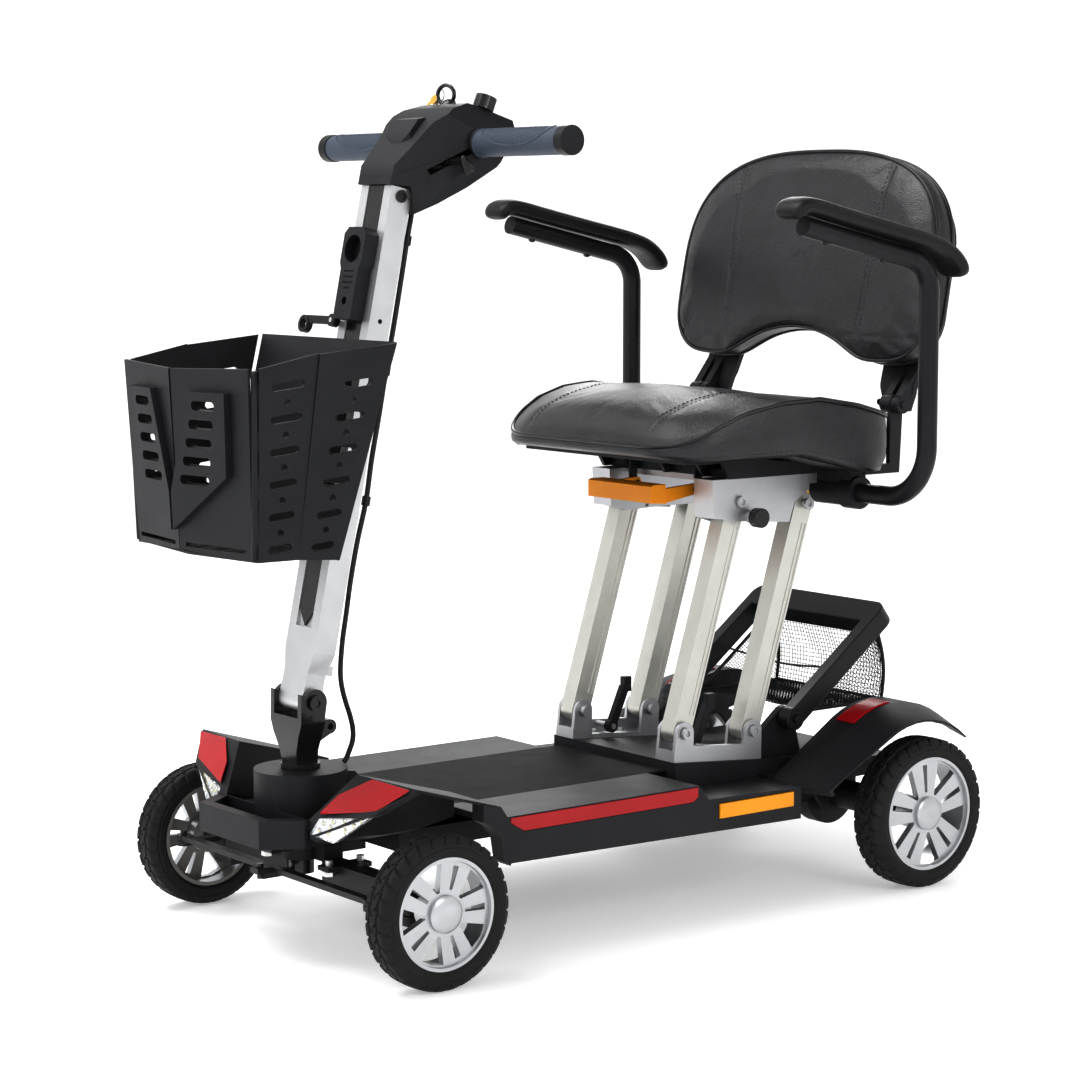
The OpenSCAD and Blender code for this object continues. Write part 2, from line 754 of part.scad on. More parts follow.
module knuckle() {
    difference() {
        union() {
            translate([kingpin_x, 0, knuckle_z[0]]) cylinder(h = knuckle_z[1] - knuckle_z[0], r = 11);
            x_rod(kingpin_x + 6, front_half_track - 12, axle_r, [0, front_axle_z]);
            x_rod(kingpin_x + 6, front_tyre_x - front_tyre_w / 2 + 6, axle_r + 3, [0, front_axle_z]);
            block([kingpin_x - 7, -steer_arm, tie_rod_z - 7], [kingpin_x + 7, -4, tie_rod_z - move_gap]);
            translate([kingpin_x, -steer_arm, tie_rod_z - 7]) cylinder(h = 7 - move_gap, r = 9);
            translate([kingpin_x, -steer_arm, tie_rod_z - 2]) cylinder(h = 14, r = 4);
        }
        translate([kingpin_x, 0, 0]) cylinder(h = 200, r = kingpin_r + run_gap);
    }
}

module knuckle_left() { color("gray") placed() knuckle(); }
module knuckle_right() { color("gray") placed() mirror([1, 0, 0]) knuckle(); }

module tie_rod() {
    color([0.1, 0.1, 0.1]) placed() difference() {
        union() {
            block([-kingpin_x, -steer_arm - 6, tie_rod_z], [kingpin_x, -steer_arm + 6, tie_rod_z + 7]);
            for (x = [-kingpin_x, kingpin_x]) translate([x, -steer_arm, tie_rod_z]) cylinder(h = 7, r = 9);
            block([-9, post_y - steer_arm - 9, tie_rod_z], [9, -steer_arm, tie_rod_z + 7]);
        }
        translate([kingpin_x, -steer_arm, 0]) cylinder(h = 200, r = 4 + run_gap);
        translate([-kingpin_x, -steer_arm, 0]) cylinder(h = 200, r = 4 + open_gap);
        translate([0, post_y - steer_arm, 0]) cylinder(h = 200, r = 4 + open_gap);
    }
}

cheek_t = 8;
clevis_half = column_w / 2 + 2;
lug_half = clevis_half - cheek_t - move_gap;
cheek_r = 17;

module steering_post() {
    color([0.08, 0.08, 0.09]) placed() {
        difference() {
            union() {
                translate([0, post_y, tie_rod_z - 7]) cylinder(h = boss_top + 14 - tie_rod_z, r = stem_r);
                translate([0, post_y, boss_top + move_gap]) cylinder(h = 6, r = 24.5);
                block([-15, post_y - 15, boss_top + 5], [15, post_y + 14, fold_z - 44]);
                intersection() {
                    front_plate(post_y - 21, post_y + 17) polygon([
                        [-17, boss_top + 4], [17, boss_top + 4], [19, fold_z - 62], [clevis_half, fold_z - 26],
                        [clevis_half, fold_z + 30], [-clevis_half, fold_z + 30], [-clevis_half, fold_z - 26],
                        [-19, fold_z - 62]
                    ]);
                    side_plate(-60, 60) {
                        translate([post_y, fold_z]) circle(r = cheek_r);
                        polygon([
                            [post_y - 15, boss_top], [post_y + 14, boss_top], [post_y + 14, fold_z - 20],
                            [post_y + cheek_r, fold_z], [post_y - 20, fold_z + 12], [post_y - 21, fold_z - 40]
                        ]);
                    }
                }
                block([-7, post_y - steer_arm, tie_rod_z - 7], [7, post_y, tie_rod_z - move_gap]);
                translate([0, post_y - steer_arm, tie_rod_z - 7]) cylinder(h = 19, r = 4);
                lock_lug();
            }
            block([-lug_half - move_gap, post_y - 60, fold_z - 18], [lug_half + move_gap, post_y + 60, fold_z + 60]);
            x_rod(-60, 60, fold_bolt_r + bolt_gap, [post_y, fold_z]);
        }
        x_rod(-clevis_half - 1, clevis_half + 1, fold_bolt_r, [post_y, fold_z]);
        translate([clevis_half + 1, post_y, fold_z]) rotate([0, 90, 0]) socket_head(10, 4);
        x_rod(-clevis_half - 5, -clevis_half - 1, 10, [post_y, fold_z]);
    }
}

// Lug behind the post that the column's lock hooks under
module lock_lug() {
    difference() {
        side_plate(-13, 13) {
            translate([post_y + 36, fold_z - 36]) circle(r = 9);
            polygon([
                [post_y + 10, fold_z - 58], [post_y + 10, fold_z - 26], [post_y + 36, fold_z - 27],
                [post_y + 42, fold_z - 42]
            ]);
        }
        x_rod(-60, 60, 4 + bolt_gap, [post_y + 36, fold_z - 36]);
    }
}

// ---- Tiller, in its own leaning frame with the folding pivot at its origin ----

column_y = 3;
column_front = column_y - column_d / 2;
column_rear = column_y + column_d / 2;
groove_half = 17;

module tiller_column() {
    color("silver") placed() tiller_frame() {
        difference() {
            intersection() {
                front_plate(-60, 60) polygon([
                    [-lug_half, -14], [lug_half, -14], [lug_half, 34], [column_w / 2, 62],
                    [column_w / 2, column_len], [-column_w / 2, column_len], [-column_w / 2, 62], [-lug_half, 34]
                ]);
                side_plate(-60, 60) {
                    circle(r = 14);
                    polygon([
                        [-14, 0], [14, 0], [14, 30], [column_rear, 60], [column_rear, column_len],
                        [column_front, column_len], [column_front, 36]
                    ]);
                }
            }
            block([-groove_half, column_front - 1, 90], [groove_half, column_front + 4, column_len + 1]);
            block([-column_w / 2 + 4, column_front + 8, 80], [column_w / 2 - 4, column_rear - 4, column_len + 1]);
            x_rod(-60, 60, fold_bolt_r + run_gap, [0, 0]);
            x_rod(-60, 60, 3, [column_y, column_len * 0.74]);
        }
        basket_mount();
        lock_rods();
    }
}

mount_half = 19.4;
mount_z = [402, 432];

// Block on the column's front that the basket hangs on
module basket_mount() {
    block([-mount_half, column_front - 24, mount_z[0]], [mount_half, column_front + 1, mount_z[1]]);
    translate([quick_at.x, column_front + 1, quick_at.y]) rotate([90, 0, 0]) cylinder(h = 18, r = quick_pin_r);
}

// Lock rods down the back of the column, with their upper and lower blocks
module lock_rods() {
    for (x = [-9, 9]) translate([x, column_rear + 6, 44]) cylinder(h = 180, r = 3);
    block([-16, column_rear - 1, 34], [16, column_rear + 12, 46]);
    block([-16, column_rear - 1, 224], [16, column_rear + 12, 240]);
}

module column_insert() {
    color([0.08, 0.08, 0.09]) placed() tiller_frame()
        front_plate(column_front + 1, column_front + 4) polygon([
            [-groove_half + 0.2, column_len - 1], [-groove_half + 0.2, 112], [0, 91], [groove_half - 0.2, 112],
            [groove_half - 0.2, column_len - 1]
        ]);
}

port_top = 584;
port_d = 20;

module port_housing() {
    color([0.10, 0.10, 0.11]) placed() tiller_frame() difference() {
        front_plate(column_front - port_d, column_front - 0.2) {
            polygon([
                [-18.5, port_top - 114], [18.5, port_top - 114], [19, port_top - 52], [23, port_top - 44],
                [23, port_top - 8], [15, port_top], [-15, port_top], [-23, port_top - 8], [-23, port_top - 44],
                [-19, port_top - 52]
            ]);
        }
        translate([0, column_front - port_d - 1, port_top - 27]) rotate([-90, 0, 0]) cylinder(h = 16, r = 17);
        translate([0, column_front - port_d - 1, port_top - 92]) rotate([-90, 0, 0]) cylinder(h = 8, r = 5);
        for (i = [0:3]) for (j = [-2:2]) if (i < 3 || abs(j) < 2)
            translate([j * 4.4, column_front - port_d - 1, port_top - 55 - i * 7])
                rotate([-90, 0, 0]) cylinder(h = 5, r = 1.4, $fn = 16);
    }
}

// Tiller head in the working frame, drawn for a 640 mm column
bar_at = [203, 989];

module head_frame() {
    translate([0, head_shift * sin(tiller_lean) + (post_y + 18), head_shift * cos(tiller_lean) + fold_z - 309])
        children();
}

head_side = [
    [97, 939], [103, 962], [133, 993], [151, 1014], [179, 1032], [205, 1039], [222, 1034], [262, 1018],
    [258, 1005], [244, 978], [232, 960], [196, 935], [159, 915], [128, 902], [124, 936]
];

module head_solid() {
    intersection() {
        side_plate(-90, 90) polygon(head_side);
        plan_plate(890, 1050) polygon([
            [-33, 90], [33, 90], [46, 141], [72, 190], [78, 206], [72, 270], [-72, 270], [-78, 206], [-72, 190],
            [-46, 141]
        ]);
        front_plate(80, 280) polygon([
            [-34, 890], [34, 890], [80, 975], [80, 1000], [46, 1042], [-46, 1042], [-80, 1000], [-80, 975]
        ]);
    }
}

throttle_at = [170, 967];
throttle_slope = 29.5;

module throttle_frame() { translate([0, throttle_at.x, throttle_at.y]) rotate([throttle_slope, 0, 0]) children(); }

// Frame on the sloping console: origin on its surface at the given x
console_at = [230, 1030.4];
console_slope = -21.8;
module console_frame(x) { translate([x, console_at.x, console_at.y]) rotate([console_slope, 0, 0]) children(); }

// Splits the head along the plane through the bar
module above_split() {
    translate([0, bar_at.x, bar_at.y - 6]) rotate([18, 0, 0]) block([-200, -300, 0.1], [200, 200, 300]);
}

module tiller_head_upper() {
    color([0.10, 0.10, 0.11]) placed() head_frame() difference() {
        union() {
            intersection() {
                head_solid();
                above_split();
            }
            console_frame(-20) translate([0, 0, -10]) cylinder(h = 17, r = 11);
        }
        head_cuts();
    }
}

module tiller_head_lower() {
    color([0.10, 0.10, 0.11]) placed() head_frame() {
        difference() {
            head_solid();
            translate([0, 0, -0.1]) above_split();
            head_cuts();
        }
        throttle_frame() translate([0, 0, -15]) cylinder(h = 18, r = throttle_pin_r);
    }
}

// What both halves of the head leave free: bar, throttle, electronics, console stems and the column's end
module head_cuts() {
    x_rod(-100, 100, bar_r + 0.05, bar_at);
    throttle_frame() block([-100, -28, -4], [100, 28, 4]);
    block([-44, 150, 958], [44, 236, 1004]);
    console_frame(45) translate([0, 0, -12]) cylinder(h = 40, r = 4 + run_gap);
    console_frame(0) translate([0, 16, -10]) cylinder(h = 40, r = 5 + run_gap);
    console_frame(-20) translate([0, 0, -8]) cylinder(h = 40, r = key_r + run_gap);
    translate([0, -18, 309]) rotate([-tiller_lean, 0, 0])
        block([-40, column_front - 30, 400], [40, column_rear + 0.3, 640.3]);
}

module handlebar() {
    color([0.1, 0.1, 0.1]) placed() head_frame() x_rod(-bar_half, bar_half, bar_r, bar_at);
}

grip_start = 80;

module grips() {
    color("slategray") placed() head_frame() both_sides() {
        difference() {
            union() {
                x_rod(grip_start, grip_start + 4, grip_r + 2, bar_at);
                x_rod(grip_start + 4, bar_half - 10, grip_r, bar_at);
            }
            x_rod(0, 400, bar_r + 0.05, bar_at);
        }
        difference() {
            x_rod(bar_half - 9.8, bar_half + 6, grip_r + 1, bar_at);
            x_rod(0, bar_half + 0.2, bar_r + 0.05, bar_at);
        }
    }
}

module speed_dial() {
    color([0.05, 0.05, 0.05]) placed() head_frame() console_frame(45) {
        translate([0, 0, -10]) cylinder(h = 14, r = 4);
        difference() {
            translate([0, 0, 1]) cylinder(h = 17, r = 13.5);
            for (i = [0:11]) rotate(i * 30) translate([14.4, 0, 3]) cylinder(h = 20, r = 1.6);
        }
    }
}

module ignition_key() {
    color("dimgray") placed() head_frame() console_frame(-20) {
        translate([0, 0, -7]) cylinder(h = 15, r = key_r);
        block([-1.2, -7, 7.6], [1.2, 7, 22]);
        translate([0, -3, 24]) rotate([0, 90, 0]) rotate_extrude() translate([9, 0]) circle(r = 1);
        block([-4, -34, 22], [4, -11.5, 26]);
    }
}

module horn_button() {
    color("darkred") placed() head_frame() console_frame(0) translate([0, 16, 0]) {
        translate([0, 0, -6]) cylinder(h = 8, r = 5);
        translate([0, 0, 2]) cylinder(h = 2.5, r = 6.5);
    }
}

paddle_x = [80, 90];
throttle_pin_r = 3;
key_r = 6;

module throttle_lever() {
    color([0.1, 0.1, 0.1]) placed() head_frame() throttle_frame() {
        difference() {
            union() {
                block([-paddle_x[1], -5, -2.5], [paddle_x[1], 5, 2.5]);
                translate([0, 0, -2.5]) cylinder(h = 5, r = 11);
            }
            translate([0, 0, -10]) cylinder(h = 20, r = throttle_pin_r + run_gap);
        }
        both_sides() hull() {
            translate([paddle_x[1], -5, -14]) sphere(r = 3, $fn = 16);
            translate([paddle_x[1], 5, -14]) sphere(r = 3, $fn = 16);
            translate([paddle_x[1], 0, 3]) sphere(r = 4, $fn = 16);
            translate([paddle_x[0], 0, 0]) sphere(r = 3, $fn = 16);
        }
    }
}

quick_at = [-28, 468];
quick_pin_r = 3;

// Cam lever beside the basket mount, turning about the mount's fore and aft pin
module quick_lever() {
    color([0.08, 0.08, 0.09]) placed() tiller_frame()
        translate([quick_at.x, column_front - 16, quick_at.y]) rotate([-90, 0, 0]) difference() {
            union() {
                cylinder(h = 9, r = 8);
                block([-58, -5, 1], [0, 5, 7]);
                translate([-62, 6, 0]) cylinder(h = 8, r = 11);
            }
            translate([0, 0, -1]) cylinder(h = 12, r = quick_pin_r + run_gap);
            translate([-62, 6, -1]) cylinder(h = 12, r = 6.5);
        }
}

// ---- Basket, in the working frame ----

basket_lean = atan((rear_rim.y - rear_foot.y) / (rear_rim.z - rear_foot.z));
hook_x = [mount_half + 0.6, mount_half + 6];

module basket_frame() {
    translate([0, post_y + 18, fold_z - 309]) children();
}

module basket_back() {
    color([0.10, 0.10, 0.11]) placed() basket_frame() {
        translate([0, rear_foot.y, rear_foot.z]) rotate([-basket_lean, 0, 0]) difference() {
            front_plate(0, basket_t) polygon([
                [-rear_foot.x + 5, 0], [rear_foot.x - 5, 0], [rear_rim.x - 6, 266], [-rear_rim.x + 6, 266]
            ]);
            for (s = [-1, 1]) for (i = [0:4]) translate([s * 84, basket_t + 1, 40 + i * 44])
                rotate([90, 0, 0]) linear_extrude(basket_t + 2) slot2d(54, 14);
        }
        basket_hooks();
        both_sides() floor_ear();
    }
}

// Two hooks that slide down over the column's mount
module basket_hooks() {
    both_sides() intersection() {
        tilted_to_column() block([hook_x[0], column_front - 90, mount_z[0] + 3],
                                  [hook_x[1], column_front - 2, mount_z[1] - 3]);
        translate([0, rear_foot.y + basket_t, rear_foot.z]) rotate([-basket_lean, 0, 0])
            block([-50, 0, 0], [50, 200, 300]);
    }
}

module tilted_to_column() { translate([0, -18, 309]) rotate([-tiller_lean, 0, 0]) children(); }

floor_pin = [rear_foot.y - 6, rear_foot.z + 5];

module floor_ear() {
    side_plate(118, 124) {
        translate(floor_pin) circle(r = 4);
        polygon([floor_pin + [0, -4], [rear_foot.y + 2, rear_foot.z], [rear_foot.y + 4, rear_foot.z + 14],
                 floor_pin + [0, 4]]);
    }
    x_rod(112, 118, 2, floor_pin);
}

module basket_floor() {
    color([0.10, 0.10, 0.11]) placed() basket_frame() difference() {
        union() {
            plan_plate(floor_pin.y - 1.5, floor_pin.y + 1.5) polygon([
                [-116, floor_pin.x - 2], [116, floor_pin.x - 2], [126, -66], [128, -108], [126, -154], [0, -172],
                [-126, -154], [-128, -108], [-126, -66]
            ]);
            x_rod(-117.4, 117.4, 4, floor_pin);
        }
        for (s = [-1, 1]) x_rod(s > 0 ? 110 : -118, s > 0 ? 118 : -110, 2 + run_gap, floor_pin);
        for (x = [-80, -40, 0, 40, 80]) translate([x, -110, floor_pin.y - 3]) linear_extrude(6)
            rotate(90) slot2d(60, 12);
    }
}

// A plate that stands on a foot point, turned to a heading and leaning outwards
module leaf(foot, heading, lean) {
    translate(foot) rotate([0, 0, heading]) rotate([lean, 0, 0]) rotate([90, 0, 0]) children();
}

slot_pitch = 38;

module side_leaf(outline, foot_mid, rim_mid) {
    difference() {
        linear_extrude(basket_t) polygon(outline);
        for (i = [0:side_slots - 1]) {
            t = (0.5 + i) / side_slots;
            translate([foot_mid + (rim_mid - foot_mid) * t, 14 + i * slot_pitch, -1]) linear_extrude(basket_t + 2)
                rotate(6) slot2d(30 + 16 * t, 9);
            if (i < side_slots - 1)
                translate([foot_mid + (rim_mid - foot_mid) * (t + 0.08), 33 + i * slot_pitch, -1])
                    cylinder(h = basket_t + 2, r = 4);
        }
    }
}

front_heading = atan((corner_foot.y - crease_foot.y) / corner_foot.x);

module basket_panels() {
    color([0.10, 0.10, 0.11]) placed() basket_frame() {
        for (s = [0, 1]) mirror([s, 0, 0]) {
            leaf(hinge_foot + [-1, 0, 0], 89, 3.8)
                side_leaf([[1, 0], [58, -4], [129, 250], [23, 240]], 30, 78);
            leaf(corner_foot + [-1, 2, 0], 89, 3.4)
                side_leaf([[0, 0], [54, -1], [76, 240], [-4, 224]], 28, 36);
            leaf(crease_foot, front_heading, 3) difference() {
                union() {
                    linear_extrude(basket_t) polygon([[0, 0], [134, -5], [142, 219], [0, 215]]);
                    linear_extrude(basket_t + 9) polygon([
                        [0, 24], [104, 92], [108, 190], [40, 190], [0, 70]
                    ]);
                }
                for (i = [0:front_slots - 1])
                    translate([46 + i * 5.5, 86 + i * 22, -1]) linear_extrude(basket_t + 12)
                        slot2d(54 - i * 3, 11);
                translate([12, 4, -1]) linear_extrude(basket_t + 2) square([110, 5]);
            }
            x_hinge(corner_foot, corner_rim);
        }
    }
}

// Hinge knuckles along an upright corner
module x_hinge(foot, rim) {
    lean = atan((rim.x - foot.x) / (rim.z - foot.z));
    translate(foot + [1, -1, 2]) rotate([0, lean, 0]) for (i = [0:3])
        translate([0, 0, 18 + i * 54]) cylinder(h = 24, r = 3.4);
}

// ---- Seat linkage ----

module link_bar(low, low_gap, top_gap) {
    x0 = link_x - link_w / 2;
    difference() {
        translate([0, low.x, low.y]) rotate([-link_lean, 0, 0]) union() {
            side_plate(x0, x0 + link_w) {
                circle(d = link_d);
                translate([0, link_len]) circle(d = link_d);
                translate([-link_d / 2, 0]) square([link_d, link_len]);
            }
        }
        translate([0, low.x, low.y]) rotate([-link_lean, 0, 0]) {
            for (s = [0, 1]) translate([s * link_w + x0, 0, 0]) for (y = [-3.2, 3.2])
                block([-1.5, y + link_d * 0.25 - 1.4, 26], [1.5, y + link_d * 0.25 + 1.4, link_len - 26]);
            x_rod(0, 300, link_bolt_r + low_gap, [0, 0]);
            x_rod(0, 300, link_bolt_r + top_gap, [0, link_len]);
        }
    }
}

module front_links() { color([0.8, 0.79, 0.74]) placed() both_sides() link_bar(front_pivot, run_gap, run_gap); }
module rear_links() { color([0.8, 0.79, 0.74]) placed() both_sides() link_bar(rear_pivot, run_gap, open_gap); }

knob_at = [front_top.x + 17, front_top.y - 21];
knob_pin_r = 4;
mount_top = seat_z + 557;

module seat_mount() {
    color("silver") placed() {
        both_sides() {
            difference() {
                union() {
                    side_plate(link_x + link_w / 2 + ear_gap, bracket_out) casting_outer();
                    side_plate(bracket_in, link_x - link_w / 2 - ear_gap) casting_inner();
                    side_plate(bracket_in, bracket_out) polygon([
                        [front_top.x - 49, mount_top], [rear_top.x + 18, mount_top], [rear_top.x + 18, mount_top - 14],
                        [front_top.x + 30, mount_top - 14], [front_top.x - 26, mount_top - 14],
                        [front_top.x - 26, front_top.y - 22], [front_top.x - 46, front_top.y - 20]
                    ]);
                    x_rod(bracket_out - 1, bracket_out + 10, 8, knob_at);
                }
                for (at = [front_top, rear_top]) x_rod(0, 300, link_bolt_r + bolt_gap, at);
                x_rod(0, 300, knob_pin_r + run_gap, knob_at);
            }
            for (at = [front_top, rear_top]) {
                x_rod(bracket_in - 5, bracket_out + 1, link_bolt_r, at);
                translate([bracket_out + 1, at.x, at.y]) rotate([0, 90, 0]) socket_head(8, 5);
                x_rod(bracket_in - 9, bracket_in - 1, 8, at);
            }
        }
        difference() {
            block([-bracket_in - 1, front_top.x - 10, mount_top - 8], [bracket_in + 1, rear_top.x + 14, mount_top]);
            for (x = [-60, 60]) for (y = [front_top.x + 20, rear_top.x - 20])
                translate([x, y, mount_top - 20]) cylinder(h = 40, r = 4.5);
        }
    }
}

module casting_outer() {
    polygon([
        [front_top.x - 26, front_top.y - 24], [front_top.x - 26, mount_top], [rear_top.x + 4, mount_top],
        [rear_top.x + 4, rear_top.y + 19], [rear_top.x - 22, rear_top.y + 4], [rear_top.x - 32, rear_top.y - 23]
    ]);
}

module casting_inner() {
    polygon([
        [front_top.x - 46, front_top.y - 20], [front_top.x - 49, mount_top], [rear_top.x + 18, mount_top],
        [rear_top.x + 18, rear_top.y - 16], [rear_top.x - 30, rear_top.y - 16], [front_top.x + 34, front_top.y - 26],
        [front_top.x - 20, front_top.y - 28]
    ]);
}

module lock_knob() {
    color([0.08, 0.08, 0.08]) placed() {
        x_rod(link_x + link_w / 2 + 1.6, bracket_out + 14, knob_pin_r, knob_at);
        x_rod(bracket_out + 11, bracket_out + 25, 13, knob_at);
    }
}

lever_pivot = [seat_y + 566, mount_top - 17];
lever_pin_x = 70;

module release_lever() {
    color("orange") placed() {
        side_plate(-66, 66) polygon([
            [seat_y + 486, lever_pivot.y - 15], [seat_y + 486, lever_pivot.y + 7], [seat_y + 490, lever_pivot.y + 9],
            [seat_y + 512, lever_pivot.y + 9], [seat_y + 514, lever_pivot.y - 17]
        ]);
        both_sides() difference() {
            side_plate(58, 65) {
                translate(lever_pivot) circle(r = 7);
                polygon([
                    [seat_y + 512, lever_pivot.y - 16], [seat_y + 512, lever_pivot.y + 3], lever_pivot + [0, 7],
                    lever_pivot + [0, -7]
                ]);
            }
            x_rod(0, 100, 3 + run_gap, lever_pivot);
        }
    }
}

cushion_z = seat_z + 600;
rear_drop = 28;

// Plan of the seat, pulled in by a margin
module seat_plan(margin) {
    hull() for (s = [-1, 1]) {
        translate([s * (seat_half_w - 96), seat_front + 70]) circle(r = 66 - margin, $fn = 48);
        translate([s * (seat_half_w - 90), seat_front + 190]) circle(r = 90 - margin, $fn = 48);
        translate([s * (seat_half_w - 60), seat_rear - 52]) circle(r = 52 - margin, $fn = 48);
    }
}

module seat_cushion() {
    color([0.08, 0.08, 0.09]) placed() intersection() {
        plan_plate(0, 1200) seat_plan(0);
        side_plate(-300, 300) polygon([
            [seat_front - 10, cushion_z + 4], [seat_front - 10, cushion_z + 26], [seat_front + 26, cushion_z + 50],
            [seat_front + 70, cushion_z + 66], [seat_front + 130, cushion_z + 76], [seat_front + 200, cushion_z + 68],
            [seat_front + 290, cushion_z + 56], [seat_rear + 4, cushion_z + 48], [seat_rear + 4, cushion_z - rear_drop],
            [seat_front + 308, cushion_z - rear_drop], [seat_front + 180, cushion_z], [seat_front + 30, cushion_z - 6]
        ]);
    }
}

ear_x = [192, 199];

module seat_pan() {
    color([0.09, 0.09, 0.10]) placed() difference() {
        union() {
            intersection() {
                plan_plate(0, 1200) seat_plan(20);
                side_plate(-300, 300) polygon([
                    [seat_front + 34, cushion_z - 16], [seat_front + 34, cushion_z - 6.5],
                    [seat_front + 179, cushion_z - 0.5], [seat_front + 307, cushion_z - rear_drop - 0.5],
                    [seat_rear + 4, cushion_z - rear_drop - 0.5], [seat_rear + 4, cushion_z - rear_drop - 9],
                    [seat_front + 307, cushion_z - rear_drop - 9], [seat_front + 179, cushion_z - 9]
                ]);
            }
            for (x = [-130, -78, 0, 78, 130]) side_plate(x - 3, x + 3) pan_rib();
            for (y = [seat_front + 150, seat_front + 230, seat_front + 300])
                block([-133, y, mount_top + 0.3], [133, y + 6, cushion_z - rear_drop - 4]);
            both_sides() arm_socket();
            both_sides() back_ear();
            both_sides() x_rod(66, lever_pin_x, 7, lever_pivot);
            both_sides() x_rod(56, lever_pin_x, 3, lever_pivot);
            both_sides() block([66, lever_pivot.x - 6, lever_pivot.y], [lever_pin_x, lever_pivot.x + 6, cushion_z - 12]);
        }
        both_sides() x_rod(arm_pivot_x[0], 400, arm_r + run_gap, arm_pivot);
    }
}

module pan_rib() {
    polygon([
        [seat_front + 120, cushion_z - 10], [seat_front + 140, mount_top + 0.3], [seat_front + 318, mount_top + 0.3],
        [seat_front + 330, cushion_z - rear_drop - 6]
    ]);
}

arm_pivot_x = [104, 181];

// Socket under the seat's rear that an armrest turns in
module arm_socket() {
    x_rod(arm_pivot_x[0] - 4, 156, arm_r + 6, arm_pivot);
    x_rod(156, arm_pivot_x[1], arm_r + 9, arm_pivot);
    block([arm_pivot_x[0] - 4, arm_pivot.x - 14, arm_pivot.y], [176, arm_pivot.x + 14, cushion_z - rear_drop - 4]);
}

// Ear at the seat's rear corner that the backrest turns on
module back_ear() {
    side_plate(ear_x[0], ear_x[1]) {
        translate(back_pivot) circle(r = 13);
        polygon([
            back_pivot + [-9, -10], back_pivot + [13, 0], [back_pivot.x + 8, cushion_z - rear_drop - 14],
            [seat_rear - 40, cushion_z - rear_drop - 14], [seat_rear - 40, cushion_z - rear_drop - 4],
            [seat_rear + 4.4, cushion_z - rear_drop - 0.5], [seat_rear + 4.4, back_pivot.y - 16]
        ]);
    }
    x_rod(ear_x[1] - 1, ear_x[1] + 16, 5, back_pivot);
    x_rod(ear_x[0] - 15, ear_x[0] + 1, 5, back_pivot);
}

// ---- Backrest, drawn in a frame that leans with it, origin at the cushion's foot ----

back_foot = [back_pivot.x + 4, back_pivot.y + 51];

module back_frame() { translate([0, back_foot.x, back_foot.y]) rotate([-back_lean, 0, 0]) children(); }

// Front outline of the back cushion with its lumbar arch, pulled in by a margin
module back_outline(margin) {
    difference() {
        hull() for (s = [-1, 1]) {
            translate([s * (back_half_w - 64), 68]) circle(r = 64 - margin, $fn = 48);
            translate([s * (back_half_w - 92), 160]) circle(r = 92 - margin, $fn = 48);
            translate([s * (back_half_w - 134), back_h - 96]) circle(r = 96 - margin, $fn = 48);
        }
        translate([0, -168]) circle(r = 214 + margin, $fn = 96);
        translate([-105, -20]) square([210, 50]);
    }
}

module back_cushion() {
    color([0.08, 0.08, 0.09]) placed() back_frame() front_plate(-back_t / 2, back_t / 2) back_outline(0);
}

shell_t = 9;

module backrest_shell() {
    color([0.09, 0.09, 0.10]) placed() {
        back_frame() front_plate(back_t / 2 + 0.3, back_t / 2 + shell_t) back_outline(10);
        both_sides() difference() {
            union() {
                for (x = [[ear_x[0] - 13, ear_x[0] - move_gap], [ear_x[1] + move_gap, ear_x[1] + 14]])
                    side_plate(x[0], x[1]) {
                        translate(back_pivot) circle(r = 12);
                        polygon([
                            back_pivot + [-2, 12], back_pivot + [12, -6], back_pivot + [38, 50],
                            back_pivot + [56, 118], back_pivot + [49, 118], back_pivot + [29, 52]
                        ]);
                    }
                intersection() {
                    translate([0, 0, back_pivot.y]) front_plate(back_pivot.x, back_pivot.x + 80) polygon([
                        [163, -10], [206, -10], [214, 14], [214, 118], [162, 118], [150, 84], [146, 56], [150, 26]
                    ]);
                    side_plate(140, 220) polygon([
                        back_pivot + [14.5, -10], back_pivot + [22, -10], back_pivot + [24, 18],
                        back_pivot + [35, 50], back_pivot + [56, 118], back_pivot + [49, 118],
                        back_pivot + [27.5, 51], back_pivot + [16, 20]
                    ]);
                }
            }
            x_rod(0, 400, 5 + run_gap, back_pivot);
        }
    }
}

// ---- Armrests ----

module armrest() {
    leg_top = arm_pivot.y + arm_rise - elbow_bend * tan((90 - arm_slope) / 2);
    x_rod(arm_pivot_x[0] + 1, arm_x - arm_bend, arm_r, arm_pivot);
    translate([arm_x - arm_bend, arm_pivot.x, arm_pivot.y + arm_bend]) rotate([90, 0, 0])
        rotate([0, 0, -90]) rotate_extrude(angle = 90) translate([arm_bend, 0]) circle(r = arm_r);
    translate([arm_x, arm_pivot.x, arm_pivot.y + arm_bend])
        cylinder(h = leg_top - arm_pivot.y - arm_bend, r = arm_r);
    translate([arm_x, arm_pivot.x - elbow_bend, leg_top]) rotate([90, 0, 90])
        rotate_extrude(angle = 90 - arm_slope) translate([elbow_bend, 0]) circle(r = arm_r);
    translate([arm_x, arm_pivot.x - elbow_bend, leg_top]) rotate([90 - arm_slope, 0, 0])
        translate([0, elbow_bend, -3]) cylinder(h = pad_len * 0.64, r = arm_r - 0.3);
}

module armrest_left() { color([0.08, 0.08, 0.09]) placed() armrest(); }
module armrest_right() { color([0.08, 0.08, 0.09]) placed() mirror([1, 0, 0]) armrest(); }

